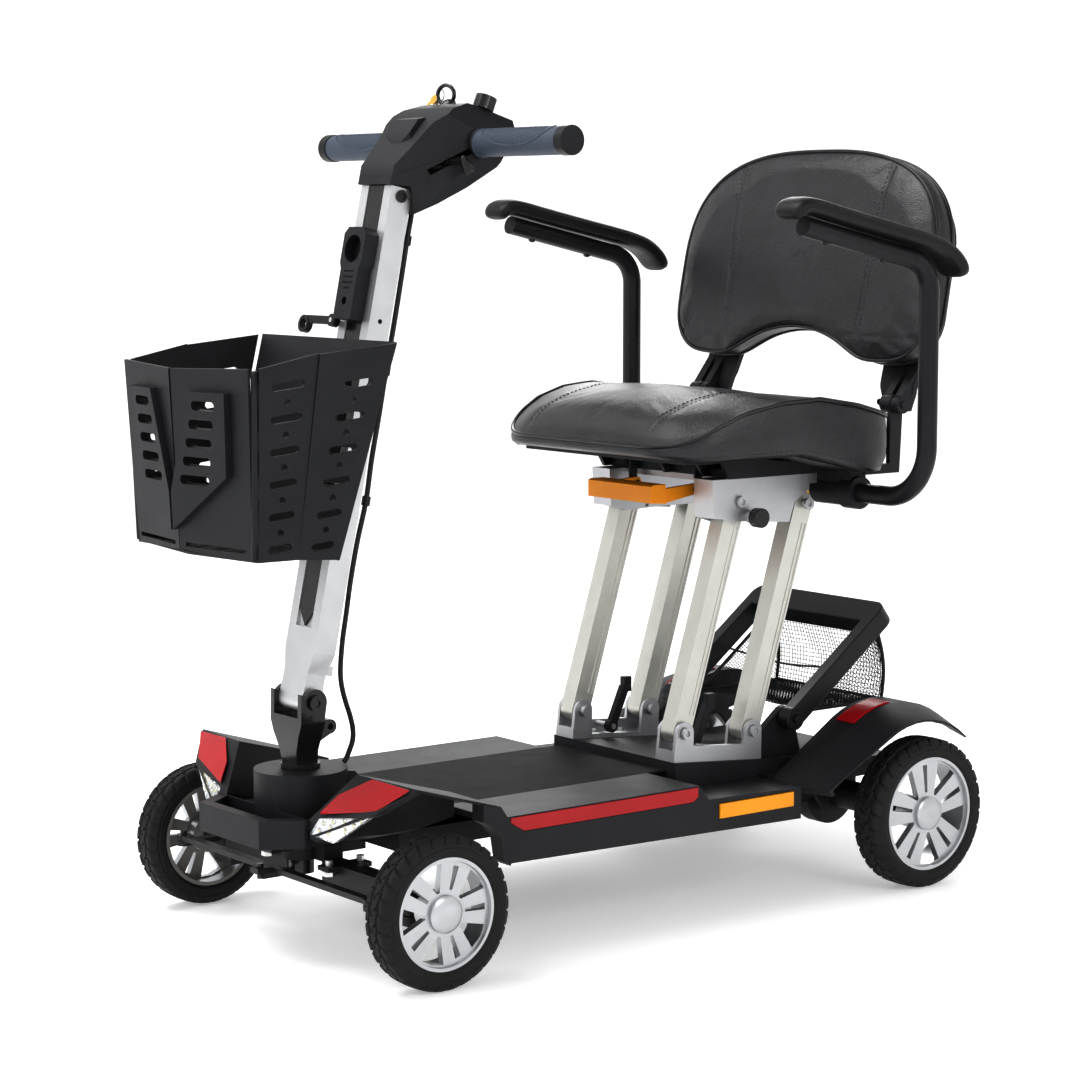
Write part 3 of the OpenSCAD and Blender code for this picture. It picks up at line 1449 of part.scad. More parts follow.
module armrest_pad() {
    leg_top = arm_pivot.y + arm_rise - elbow_bend * tan((90 - arm_slope) / 2);
    translate([arm_x, arm_pivot.x - elbow_bend, leg_top]) rotate([-arm_slope, 0, 0])
        translate([0, 0, elbow_bend]) intersection() {
            plan_plate(-40, 60) hull() {
                for (y = [88 - pad_len, 60]) translate([0, y]) circle(r = pad_w / 2, $fn = 48);
            }
            side_plate(-pad_w, pad_w) polygon([
                [86 - pad_len, arm_r + 0.3 - 12], [78 - pad_len, arm_r + 8], [96 - pad_len, arm_r + 22],
                [40, arm_r + 24], [78, arm_r + 10], [90, -6], [82, -14], [44, arm_r + 0.3], [-3, arm_r + 0.3],
                [110 - pad_len, arm_r + 0.3], [104 - pad_len, arm_r - 10]
            ]);
        }
}

module armrest_pad_left() { color([0.06, 0.06, 0.06]) placed() armrest_pad(); }
module armrest_pad_right() { color([0.06, 0.06, 0.06]) placed() mirror([1, 0, 0]) armrest_pad(); }

// ---- Carry frame and bag ----

module carry_place() { translate([0, carry_pivot.x, carry_pivot.y]) rotate([carry_rise, 0, 0]) children(); }

module carry_frame() {
    color([0.09, 0.09, 0.10]) placed() carry_place() difference() {
        union() {
            intersection() {
                plan_plate(-carry_t / 2, carry_t / 2) difference() {
                    union() {
                        translate([-carry_half_w, 0]) square([2 * carry_half_w, carry_len - 20]);
                        translate([-carry_half_w + 20, 0]) square([2 * carry_half_w - 40, carry_len]);
                        for (s = [-1, 1]) translate([s * (carry_half_w - 20), carry_len - 20]) circle(r = 20);
                    }
                    translate([-carry_half_w + carry_arm_w, -30])
                        square([2 * (carry_half_w - carry_arm_w), carry_len - carry_bar + 30]);
                }
            }
            both_sides() x_rod(carry_half_w - carry_arm_w, carry_half_w, carry_t / 2 + 2, [0, 0]);
        }
        x_rod(-200, 200, carry_pin_r + run_gap, [0, 0]);
    }
}

bag_t = 2;

// Side of the bag, as a [y, z] outline from the carry frame's pivot, pulled in by a margin
module bag_side(margin) {
    slope = tan(carry_rise);
    top = carry_len - 16;
    polygon([
        [34 + margin, 34 * slope - 24], [34 + margin, -1 + margin], [186 - margin, -1 + margin],
        [195 - margin, 8], [top * cos(carry_rise) - margin, top * sin(carry_rise) - 24],
        [top * cos(carry_rise) - margin - 6, top * sin(carry_rise) - 24 + (margin > 0 ? 60 : 0)],
        [30 + margin, 34 * slope - 24 + (margin > 0 ? 60 : 0)]
    ]);
}

module mesh_bag() {
    bag_half = carry_half_w - carry_arm_w - 1;
    color([0.2, 0.2, 0.2]) placed() translate([0, carry_pivot.x, carry_pivot.y]) difference() {
        side_plate(-bag_half, bag_half) bag_side(0);
        side_plate(-bag_half + bag_t, bag_half - bag_t) bag_side(bag_t);
    }
}

// ---- Cable from the tiller head down to the deck ----

cable_r = 3.5;
cable_sides = 8;
cable_points = [
    [4, 151.2, 909.2], [4, 150, 900], [6, 142, 870], [8, 133, 830], [8, 121, 770], [8, 108, 710], [8, 96, 650],
    [10, 84, 600], [12, 74, 550], [10, 62, 500], [6, 54, 450], [2, 50, 410], [0, 46, 380], [0, 43, 355],
    [0, 42, 335], [0, 44, 318], [0, 49, 300], [0, 56, 280], [0, 60, 262], [0, 59, 248], [0, 54, 236],
    [0, 50, 228], [0, 46, 223]
];

function unit(v) = v / norm(v);
function route_dir(p, i) = unit(p[min(i + 1, len(p) - 1)] - p[max(i - 1, 0)]);

// Tube along a route: one ring of points square to the route at each point
module tube(p, r, sides) {
    rings = [for (i = [0:len(p) - 1]) let(d = route_dir(p, i), u = [1, 0, 0], v = unit(cross(d, u)), w = cross(v, d))
        for (k = [0:sides - 1]) p[i] + r * (cos(k * 360 / sides) * v + sin(k * 360 / sides) * w)];
    last = (len(p) - 1) * sides;
    faces = concat(
        [[for (k = [0:sides - 1]) k]],
        [for (i = [0:len(p) - 2]) for (k = [0:sides - 1]) let(n = (k + 1) % sides)
            [i * sides + k, (i + 1) * sides + k, (i + 1) * sides + n, i * sides + n]],
        [[for (k = [sides - 1:-1:0]) last + k]]
    );
    polyhedron(points = rings, faces = faces, convexity = 4);
}

// The cable's route, following the tiller when the column's length or place changes
module tiller_cable() {
    route = [for (p = cable_points) let(up = max(0, p.z - 309))
        p + [0, post_y + 18, min(1, up / 20) * (fold_z - 309)]
          + up / 600 * head_shift * [0, sin(tiller_lean), cos(tiller_lean)]];
    color([0.05, 0.05, 0.05]) placed() tube(route, cable_r, cable_sides);
}

main_frame();
deck_shell();
floor_panel();
front_body();
front_bumper();
red_lenses();
headlights();
side_reflectors();
rear_body();
rear_fenders();
seat_brackets();
transaxle();
battery_pack();
controller();
chassis_bolts();
latch_lever_left();
latch_lever_right();
steering_post();
knuckle_left();
knuckle_right();
tie_rod();
front_tyre_left();
front_rim_left();
front_tyre_right();
front_rim_right();
rear_tyre_left();
rear_rim_left();
rear_tyre_right();
rear_rim_right();
tiller_column();
column_insert();
port_housing();
tiller_head_upper();
tiller_head_lower();
handlebar();
grips();
speed_dial();
ignition_key();
throttle_lever();
horn_button();
quick_lever();
basket_back();
basket_panels();
basket_floor();
front_links();
rear_links();
seat_mount();
seat_pan();
seat_cushion();
backrest_shell();
back_cushion();
armrest_left();
armrest_right();
armrest_pad_left();
armrest_pad_right();
release_lever();
lock_knob();
carry_frame();
mesh_bag();
tiller_cable();
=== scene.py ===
"""Four-wheeled folding mobility scooter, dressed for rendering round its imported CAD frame."""

import json
import math
import random

import bmesh
import bpy
import numpy as np
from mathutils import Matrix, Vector
from mathutils.bvhtree import BVHTree


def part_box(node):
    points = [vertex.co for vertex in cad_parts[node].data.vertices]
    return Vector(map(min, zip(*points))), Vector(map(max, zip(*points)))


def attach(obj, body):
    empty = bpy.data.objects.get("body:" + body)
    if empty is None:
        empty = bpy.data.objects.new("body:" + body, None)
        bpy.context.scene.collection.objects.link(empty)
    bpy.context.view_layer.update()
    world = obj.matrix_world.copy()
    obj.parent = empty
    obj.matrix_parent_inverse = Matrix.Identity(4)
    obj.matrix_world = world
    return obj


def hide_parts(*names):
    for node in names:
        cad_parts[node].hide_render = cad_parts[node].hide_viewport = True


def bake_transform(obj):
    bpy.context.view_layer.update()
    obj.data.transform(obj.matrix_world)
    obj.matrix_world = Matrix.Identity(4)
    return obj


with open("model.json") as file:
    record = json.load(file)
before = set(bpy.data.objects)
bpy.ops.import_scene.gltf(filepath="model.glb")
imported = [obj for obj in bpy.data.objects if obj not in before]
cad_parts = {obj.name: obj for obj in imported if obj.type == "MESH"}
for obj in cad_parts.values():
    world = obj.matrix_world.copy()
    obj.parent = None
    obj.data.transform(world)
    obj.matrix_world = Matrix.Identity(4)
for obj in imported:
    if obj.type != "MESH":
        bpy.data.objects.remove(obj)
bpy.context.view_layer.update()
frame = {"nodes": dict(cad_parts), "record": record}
NODES = frame["nodes"]
SLOT_OF = {s["node"]: s["material_slot"] for s in frame["record"]["subparts"]}
BODY_OF = {n: b for b, ns in frame["record"]["behaviour"]["bodies"].items() for n in ns}
MM = 0.001


def box_mm(node):
    """Lowest and highest corner of a CAD node, in millimetres."""
    low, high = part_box(node)
    return Vector(low) / MM, Vector(high) / MM


# ---- Camera, floor and light ----

# The front axle's centre line in the row frame, from the front tyre's box
tyre_low, tyre_high = box_mm("front_tyre_left")
AXLE_Y = (tyre_low.y + tyre_high.y) / 2
SENSOR = 36.0
VIEW_TURN = math.radians(52.48)
VIEW_DROP = math.radians(6.63)
CAMERA_AT = Vector((2848.9, AXLE_Y - 1832.8, 897.7)) * MM


def make_camera():
    data = bpy.data.cameras.new("camera")
    data.sensor_width = SENSOR
    data.lens = 2.5647 * SENSOR
    data.clip_start = 0.05
    data.clip_end = 60
    camera = bpy.data.objects.new("camera", data)
    camera.location = CAMERA_AT
    camera.rotation_euler = (math.pi / 2 - VIEW_DROP, 0, VIEW_TURN)
    bpy.context.collection.objects.link(camera)
    bpy.context.scene.camera = camera


def area_light(name, at, target, size, power, colour=(1, 1, 1)):
    data = bpy.data.lights.new(name, "AREA")
    data.shape = "RECTANGLE"
    data.size, data.size_y = size
    data.energy = power
    data.color = colour
    light = bpy.data.objects.new(name, data)
    light.location = at
    light.rotation_euler = (Vector(target) - Vector(at)).to_track_quat("-Z", "Y").to_euler()
    bpy.context.collection.objects.link(light)


def make_studio():
    """Pale floor that sweeps up into a wall all round, and soft lights."""
    flat, curve, wall, sides = 5.0, 3.5, 3.5, 96
    profile = [(flat, 0.0)]
    for i in range(1, 17):
        turn = math.pi / 2 * i / 16
        profile.append((flat + curve * math.sin(turn), curve * (1 - math.cos(turn))))
    profile.append((flat + curve, curve + wall))
    verts, faces = [(0, 0, 0)], []
    for r, z in profile:
        for k in range(sides):
            turn = 2 * math.pi * k / sides
            verts.append((r * math.cos(turn), r * math.sin(turn), z))
    for k in range(sides):
        faces.append((0, 1 + k, 1 + (k + 1) % sides))
    for i in range(len(profile) - 1):
        for k in range(sides):
            n = (k + 1) % sides
            a, b = 1 + i * sides, 1 + (i + 1) * sides
            faces.append((a + k, b + k, b + n, a + n))
    mesh = bpy.data.meshes.new("floor")
    mesh.from_pydata(verts, [], faces)
    for face in mesh.polygons:
        face.use_smooth = True
    floor = bpy.data.objects.new("floor", mesh)
    bpy.context.collection.objects.link(floor)
    mat = bpy.data.materials.new("floor_paper")
    mat.use_nodes = True
    shader = mat.node_tree.nodes["Principled BSDF"]
    shader.inputs["Base Color"].default_value = (0.93, 0.93, 0.93, 1)
    shader.inputs["Roughness"].default_value = 0.9
    shader.inputs["Specular IOR Level"].default_value = 0.1
    shader.inputs["Emission Color"].default_value = (1, 1, 1, 1)
    shader.inputs["Emission Strength"].default_value = 0.3
    mesh.materials.append(mat)
    world = bpy.data.worlds.new("studio")
    bpy.context.scene.world = world
    world.use_nodes = True
    world.node_tree.nodes["Background"].inputs["Color"].default_value = (1, 1, 1, 1)
    world.node_tree.nodes["Background"].inputs["Strength"].default_value = 0.42
    area_light("overhead", (-0.9, -1.3, 3.3), (0, 0, 0.3), (2.0, 2.0), 88)
    area_light("key", (3.4, -0.2, 2.0), (0, 0, 0.5), (1.6, 1.4), 28)
    area_light("front_fill", (-0.4, -3.6, 1.7), (0, 0, 0.5), (1.8, 1.4), 27)
    area_light("back_rim", (-2.6, 2.4, 2.4), (0, 0, 0.5), (1.4, 1.4), 38)
    scene = bpy.context.scene
    scene.view_settings.view_transform = "Standard"
    scene.view_settings.exposure = 0.1
    scene.view_settings.gamma = 0.8


make_camera()
make_studio()


# ---- Materials ----

MATERIALS = {}


def new_material(name, colour, rough, metal=0.0):
    mat = MATERIALS[name] = bpy.data.materials.new(name)
    mat.use_nodes = True
    shader = mat.node_tree.nodes["Principled BSDF"]
    shader.inputs["Base Color"].default_value = (*colour, 1)
    shader.inputs["Roughness"].default_value = rough
    shader.inputs["Metallic"].default_value = metal
    return mat, shader


def node(mat, kind, **values):
    made = mat.node_tree.nodes.new(kind)
    for key, value in values.items():
        if key in made.inputs:
            made.inputs[key].default_value = value
        else:
            setattr(made, key, value)
    return made


def link(mat, a, out, b, into):
    mat.node_tree.links.new(a.outputs[out], b.inputs[into])


def pattern_on(mat, kind, **values):
    """A pattern node on object coordinates, which are row-frame metres on every piece."""
    pattern = node(mat, kind, **values)
    link(mat, node(mat, "ShaderNodeTexCoord"), "Object", pattern, "Vector")
    return pattern


def grain(mat, shader, scale, strength, distance=0.0004, kind="noise"):
    """Bump from a fine noise or cell pattern."""
    if kind == "cells":
        pattern, out = pattern_on(mat, "ShaderNodeTexVoronoi", Scale=scale), "Distance"
    else:
        pattern, out = pattern_on(mat, "ShaderNodeTexNoise", Scale=scale, Detail=4.0), "Fac"
    bump = node(mat, "ShaderNodeBump", Strength=strength, Distance=distance)
    link(mat, pattern, out, bump, "Height")
    link(mat, bump, "Normal", shader, "Normal")


def mottle(mat, shader, colour_a, colour_b, scale=18.0):
    """Base colour that drifts softly between two tones."""
    noise = pattern_on(mat, "ShaderNodeTexNoise", Scale=scale, Detail=5.0)
    ramp = node(mat, "ShaderNodeValToRGB")
    ramp.color_ramp.elements[0].position = 0.35
    ramp.color_ramp.elements[1].position = 0.68
    ramp.color_ramp.elements[0].color = (*colour_a, 1)
    ramp.color_ramp.elements[1].color = (*colour_b, 1)
    link(mat, noise, "Fac", ramp, "Fac")
    link(mat, ramp, "Color", shader, "Base Color")


def rough_drift(mat, shader, low, high, scale=30.0):
    """Roughness that drifts over the surface."""
    noise = pattern_on(mat, "ShaderNodeTexNoise", Scale=scale, Detail=6.0)
    span = node(mat, "ShaderNodeMapRange")
    span.inputs["To Min"].default_value = low
    span.inputs["To Max"].default_value = high
    link(mat, noise, "Fac", span, "Value")
    link(mat, span, "Result", shader, "Roughness")


def plastic(name, tone, rough, bump_scale=900.0, bump=0.35, shine=0.26):
    """Moulded plastic with a fine grain."""
    mat, shader = new_material(name, tone, rough)
    shader.inputs["Specular IOR Level"].default_value = shine
    lighter = tuple(min(1, c * 1.22 + 0.002) for c in tone)
    mottle(mat, shader, tone, lighter, 9.0)
    grain(mat, shader, bump_scale, bump, 0.0003)
    rough_drift(mat, shader, rough - 0.06, rough + 0.06)


def gloss(name, tone, rough=0.12, coat=0.6):
    """Glossy coloured plastic under a clear coat."""
    mat, shader = new_material(name, tone, rough)
    mottle(mat, shader, tone, tuple(c * 1.15 for c in tone), 12.0)
    rough_drift(mat, shader, rough, rough + 0.08, 50.0)
    shader.inputs["Specular IOR Level"].default_value = 0.3
    shader.inputs["Coat Weight"].default_value = coat
    shader.inputs["Coat Roughness"].default_value = 0.06


def metal(name, tone, rough, grain_scale=600.0, bump=0.2, metallic=1.0):
    """Satin metal with a fine grain."""
    mat, shader = new_material(name, tone, rough, metallic)
    mottle(mat, shader, tone, tuple(c * 0.92 for c in tone), 25.0)
    grain(mat, shader, grain_scale, bump, 0.0002)
    rough_drift(mat, shader, rough - 0.05, rough + 0.08, 60.0)


def leatherette():
    mat, shader = new_material("leatherette", (0.010, 0.010, 0.012), 0.36)
    shader.inputs["Specular IOR Level"].default_value = 0.55
    mottle(mat, shader, (0.008, 0.008, 0.010), (0.015, 0.015, 0.018), 14.0)
    cells = pattern_on(mat, "ShaderNodeTexVoronoi", Scale=520.0)
    folds = pattern_on(mat, "ShaderNodeTexNoise", Scale=26.0, Detail=3.0)
    fine = node(mat, "ShaderNodeBump", Strength=0.55, Distance=0.0006)
    soft = node(mat, "ShaderNodeBump", Strength=0.35, Distance=0.004)
    link(mat, cells, "Distance", fine, "Height")
    link(mat, folds, "Fac", soft, "Height")
    link(mat, soft, "Normal", fine, "Normal")
    link(mat, fine, "Normal", shader, "Normal")
    rough_drift(mat, shader, 0.28, 0.42, 20.0)


def clear_lens():
    mat, shader = new_material("clear_lens", (0.93, 0.95, 0.97), 0.06)
    shader.inputs["Transmission Weight"].default_value = 0.9
    shader.inputs["IOR"].default_value = 1.46
    grain(mat, shader, 160.0, 0.25, 0.001, kind="cells")
    return mat


def glow(name, tone, strength):
    mat, shader = new_material(name, tone, 0.35)
    shader.inputs["Emission Color"].default_value = (*tone, 1)
    shader.inputs["Emission Strength"].default_value = strength
    mottle(mat, shader, tone, tuple(c * 0.85 for c in tone), 300.0)


plastic("frame_paint", (0.013, 0.0135, 0.015), 0.5, 700, 0.2)
plastic("body_plastic", (0.0115, 0.012, 0.014), 0.48)
plastic("floor_texture", (0.011, 0.011, 0.0125), 0.72, 420, 0.9, 0.14)
gloss("red_gloss", (0.34, 0.002, 0.006), 0.18, 0.12)
MATERIALS["lamp_clear"] = clear_lens()
gloss("amber_gloss", (0.78, 0.30, 0.004), 0.24, 0.1)
metal("cast_silver", (0.50, 0.505, 0.52), 0.42, 900, 0.4)
metal("zinc", (0.74, 0.75, 0.73), 0.28)
gloss("black_gloss", (0.007, 0.007, 0.008), 0.22, 0.3)
plastic("black_steel", (0.010, 0.0105, 0.012), 0.36, 500, 0.12)
plastic("tyre_rubber", (0.0095, 0.0095, 0.0105), 0.62, 300, 0.5)
metal("rim_silver", (0.50, 0.51, 0.525), 0.32, 500, 0.15, 0.9)
plastic("rim_back", (0.15, 0.145, 0.135), 0.55)
metal("column_silver", (0.56, 0.565, 0.575), 0.42, 1400, 0.3, 0.9)
metal("link_champagne", (0.60, 0.595, 0.555), 0.4, 1200, 0.2, 0.9)
plastic("grip_rubber", (0.050, 0.064, 0.088), 0.5, 700, 0.3)
metal("key_steel", (0.5, 0.5, 0.52), 0.3)
leatherette()
gloss("piping", (0.014, 0.014, 0.016), 0.3, 0.25)
plastic("pad_foam", (0.009, 0.009, 0.0095), 0.45, 500, 0.6)
gloss("orange_plastic", (0.70, 0.24, 0.004), 0.36, 0.05)
plastic("bag_mesh", (0.012, 0.012, 0.013), 0.7, 900, 0.6)
plastic("cable_sheath", (0.016, 0.016, 0.017), 0.45, 600, 0.2)
plastic("thread", (0.05, 0.05, 0.055), 0.6, 1500, 0.3)
metal("gold", (0.85, 0.55, 0.14), 0.25)
glow("led_chip", (0.95, 0.85, 0.45), 0.3)
metal("reflector_cup", (0.85, 0.86, 0.88), 0.15)
plastic("seam_dark", (0.006, 0.006, 0.007), 0.8)


# ---- Mesh helpers ----

def new_object(name, mesh, material=None):
    obj = bpy.data.objects.new(name, mesh)
    bpy.context.collection.objects.link(obj)
    if material:
        mesh.materials.clear()
        mesh.materials.append(MATERIALS[material])
    return obj


def new_mesh(name, verts, faces, smooth=False, outward=False):
    """Mesh from points and faces, with its faces turned outward where asked."""
    mesh = bpy.data.meshes.new(name)
    mesh.from_pydata([tuple(v) for v in verts], [], faces)
    if outward:
        made = bmesh.new()
        made.from_mesh(mesh)
        bmesh.ops.recalc_face_normals(made, faces=made.faces)
        made.to_mesh(mesh)
        made.free()
    if smooth:
        for face in mesh.polygons:
            face.use_smooth = True
    return mesh


def side_name(side):
    return "left" if side > 0 else "right"


def band_faces(rows, sides, base=0, wrap=True):
    """Quads between rows of points, closed round each row unless told otherwise."""
    faces = []
    for i in range(rows - 1):
        a, b = base + i * sides, base + (i + 1) * sides
        for k in range(sides if wrap else sides - 1):
            n = (k + 1) % sides
            faces.append((a + k, a + n, b + n, b + k))
    return faces


def add_object(name, mesh, material, body):
    obj = new_object(name, mesh, material)
    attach(obj, body)
    return obj


def cad_copy(cad_node, merge=0.00002):
    """The node's solid as one welded mesh, with its flat faces whole."""
    made = bmesh.new()
    made.from_mesh(NODES[cad_node].data)
    bmesh.ops.remove_doubles(made, verts=made.verts, dist=merge)
    bmesh.ops.dissolve_limit(
        made, angle_limit=math.radians(0.6), verts=made.verts, edges=made.edges, delimit={"NORMAL"}
    )
    return made


def smooth_by_angle(mesh, degrees):
    for face in mesh.polygons:
        face.use_smooth = True
    limit = math.radians(degrees)
    made = bmesh.new()
    made.from_mesh(mesh)
    for edge in made.edges:
        edge.smooth = len(edge.link_faces) == 2 and edge.calc_face_angle(0) < limit
    made.to_mesh(mesh)
    made.free()


def add_bevel(obj, width, segments=3, degrees=32):
    bevel = obj.modifiers.new("bevel", "BEVEL")
    bevel.width = width
    bevel.segments = segments
    bevel.limit_method = "ANGLE"
    bevel.angle_limit = math.radians(degrees)
    bevel.use_clamp_overlap = True
    bevel.harden_normals = True
    return bevel


def dress(cad_node, material=None, width=0.8, segments=3, degrees=32, edit=None):
    """Replaces a CAD node by its own shape with rounded edges and a material."""
    made = cad_copy(cad_node)
    if edit:
        edit(made)
    mesh = bpy.data.meshes.new(cad_node + "_piece")
    made.to_mesh(mesh)
    made.free()
    smooth_by_angle(mesh, 35)
    slot = SLOT_OF[cad_node]
    obj = add_object(cad_node + "_piece", mesh, material or slot, BODY_OF[cad_node])
    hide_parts(cad_node)
    if width:
        add_bevel(obj, width * MM, segments, degrees)
    return obj


def tube_mesh(name, points, radius, sides=12, closed=False):
    """Tube along points (metres)."""
    pts = [Vector(p) for p in points]
    count = len(pts)
    verts = []
    normal = None
    for i, p in enumerate(pts):
        a = pts[(i - 1) % count] if closed or i else p
        b = pts[(i + 1) % count] if closed or i < count - 1 else p
        along = (b - a).normalized()
        if normal is None:
            normal = along.orthogonal().normalized()
        normal = (normal - along * normal.dot(along)).normalized()
        side = along.cross(normal)
        r = radius[i] if isinstance(radius, (list, tuple)) else radius
        for k in range(sides):
            t = 2 * math.pi * k / sides
            verts.append(p + normal * (r * math.cos(t)) + side * (r * math.sin(t)))
    faces = band_faces(count, sides)
    if closed:
        last = (count - 1) * sides
        faces += [(last + k, last + (k + 1) % sides, (k + 1) % sides, k) for k in range(sides)]
    else:
        faces.append(tuple(range(sides))[::-1])
        faces.append(tuple((count - 1) * sides + k for k in range(sides)))
    mesh = new_mesh(name, verts, faces)
    for face in mesh.polygons:
        face.use_smooth = len(face.vertices) == 4
    return mesh


def smooth_path(points, steps=8, closed=False):
    """Catmull-Rom curve through points."""
    pts = [Vector(p) for p in points]
    count = len(pts)
    out = []
    for i in range(count if closed else count - 1):
        p0 = pts[(i - 1) % count] if closed or i else pts[0]
        p1, p2 = pts[i], pts[(i + 1) % count]
        p3 = pts[(i + 2) % count] if closed or i + 2 < count else pts[-1]
        for s in range(steps):
            t = s / steps
            out.append(0.5 * (
                2 * p1 + (p2 - p0) * t + (2 * p0 - 5 * p1 + 4 * p2 - p3) * t * t
                + (3 * p1 - p0 - 3 * p2 + p3) * t * t * t
            ))
    if not closed:
        out.append(pts[-1])
    return out


def ground(x, y, z):
    """A point given in millimetres from the ground below the front axle, in row-frame metres."""
    return Vector((x, y + AXLE_Y, z)) * MM


# ---- Hard parts that keep their CAD shape ----

def dress_hard_parts():
    for name, width in {
        "main_frame": 1.0, "transaxle": 0.8, "battery_pack": 2.0, "controller": 0.6,
        "deck_shell": 1.0, "floor_panel": 0.7, "front_body": 1.6, "front_bumper": 2.2, "rear_body": 1.6,
        "rear_fenders": 1.5, "seat_brackets": 0.8, "chassis_bolts": 0.4, "latch_lever_left": 1.2,
        "latch_lever_right": 1.2, "steering_post": 1.3, "knuckle_left": 0.8, "knuckle_right": 0.8,
        "tie_rod": 1.0, "tiller_column": 1.4, "column_insert": 0.5, "port_housing": 1.6,
        "tiller_head_upper": 2.2, "tiller_head_lower": 2.2, "handlebar": 0.6, "quick_lever": 1.2,
        "throttle_lever": 0.4, "horn_button": 0.5, "speed_dial": 0.7,
        "basket_back": 0.8, "basket_panels": 0.8, "basket_floor": 0.6, "front_links": 1.4, "rear_links": 1.4,
        "seat_mount": 1.4, "seat_pan": 1.2, "backrest_shell": 1.6, "armrest_left": 0.8, "armrest_right": 0.8,
        "release_lever": 1.6, "lock_knob": 1.0, "carry_frame": 3.0, "side_reflectors": 0.5, "red_lenses": 0.5,
        "headlights": 0.4,
    }.items():
        dress(name, width=width)


dress_hard_parts()


# ---- Tyres and rims ----

def wheel_centre(tyre_node):
    low, high = box_mm(tyre_node)
    return (low + high) / 2, (high.x - low.x), (high.z - low.z) / 2


def tread_depth(turn, across, half):
    """Groove depth, 0 to 1, at a turn angle and a distance across the tread."""
    pitches = 30
    phase = turn * pitches / (2 * math.pi)
    mirror = abs(across)
    zigzag = half * (0.34 + 0.05 * math.sin(2 * math.pi * phase))
    channel = max(0.0, 1 - abs(mirror - zigzag) / (half * 0.075))
    shift = 0.5 if across > 0 else 0.0
    slant = (phase + shift - mirror / half * 0.75) % 1.0
    slot = max(0.0, 1 - abs(slant - 0.5) / 0.13) if mirror > half * 0.42 else 0.0
    middle = (phase + shift * 0.5 + mirror / half * 0.9) % 1.0
    sipe = max(0.0, 1 - abs(middle - 0.5) / 0.10) * 0.8 if mirror < half * 0.30 else 0.0
    return min(1.0, 1.6 * max(channel, slot, sipe))


def make_tyre(cad_node):
    centre, width, radius = wheel_centre(cad_node)
    rim_radius = radius - 25
    half = width / 2
    groove = 2.6
    profile = [(rim_radius + 0.2, -half + 3.4), (rim_radius + 4, -half + 0.6), (rim_radius + 9, -half + 0.1)]
    profile += [(radius - 14, -half + 0.1), (radius - 13, -half + 0.9), (radius - 9, -half + 0.6)]
    crown = 26
    for i in range(crown + 1):
        s = -1 + 2 * i / crown
        x = s * (half - 2)
        drop = 1.2 * s * s + 5.5 * max(0.0, abs(s) - 0.72) ** 2 / 0.0784
        profile.append((radius - drop, x))
    profile += [(r, -x) for r, x in reversed(profile[:6])]
    steps = 600
    verts, faces = [], []
    for i in range(steps):
        turn = 2 * math.pi * i / steps
        for j, (r, x) in enumerate(profile):
            depth = 0.0
            if 6 <= j <= 6 + crown:
                depth = groove * tread_depth(turn, x, half)
            elif j in (5, 6 + crown + 1):
                side = -1 if j == 5 else 1
                depth = 0.8 * tread_depth(turn, side * half * 0.95, half)
            rr = r - depth
            verts.append(
                ((centre.x + x) * MM, (centre.y + rr * math.cos(turn)) * MM, (centre.z + rr * math.sin(turn)) * MM)
            )
    rows = len(profile)
    for i in range(steps):
        n = (i + 1) % steps
        for j in range(rows):
            m = (j + 1) % rows
            faces.append((i * rows + j, i * rows + m, n * rows + m, n * rows + j))
    mesh = new_mesh(cad_node + "_tread", verts, faces)
    smooth_by_angle(mesh, 28)
    obj = add_object(cad_node + "_tread", mesh, "tyre_rubber", BODY_OF[cad_node])
    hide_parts(cad_node)
    return obj


def make_rim(cad_node, tyre_node):
    """The rim keeps its CAD shape; its faces turned inwards take the grey of the bare moulding."""
    obj = dress(cad_node, width=1.0)
    obj.data.materials.append(MATERIALS["rim_back"])
    side = 1 if wheel_centre(tyre_node)[0].x > 0 else -1
    for face in obj.data.polygons:
        if face.normal.x * side < -0.5:
            face.material_index = 1


for where in ("front", "rear"):
    for side in ("left", "right"):
        make_tyre(f"{where}_tyre_{side}")
        make_rim(f"{where}_rim_{side}", f"{where}_tyre_{side}")


# ---- Soft parts ----

def hull_radius(circles, centre, angle, cut=None):
    """Distance from centre to the edge of the hull of circles, less a cut circle, along an angle."""
    turns = np.radians(np.arange(0, 360, 2))
    normals = np.stack([np.cos(turns), np.sin(turns)], axis=1)
    support = np.max([normals @ np.array(c[:2]) + c[2] for c in circles], axis=0)
    along = np.array([math.cos(angle), math.sin(angle)])
    low, high = 0.0, 500.0
    for _ in range(26):
        middle = (low + high) / 2
        point = np.array(centre) + along * middle
        inside = np.all(normals @ point <= support + 1e-6)
        if cut is not None and inside:
            inside = np.linalg.norm(point - np.array(cut[:2])) > cut[2]
        low, high = (middle, high) if inside else (low, middle)
    return low


def outline_of(circles, centre, count, cut=None, rounds=6):
    """Outline points round a centre, with its corners eased."""
    points = []
    for i in range(count):
        angle = 2 * math.pi * i / count
        reach = hull_radius(circles, centre, angle, cut)
        points.append(np.array(centre) + reach * np.array([math.cos(angle), math.sin(angle)]))
    points = np.array(points)
    for _ in range(rounds):
        points = points * 0.5 + 0.25 * (np.roll(points, 1, axis=0) + np.roll(points, -1, axis=0))
    return points


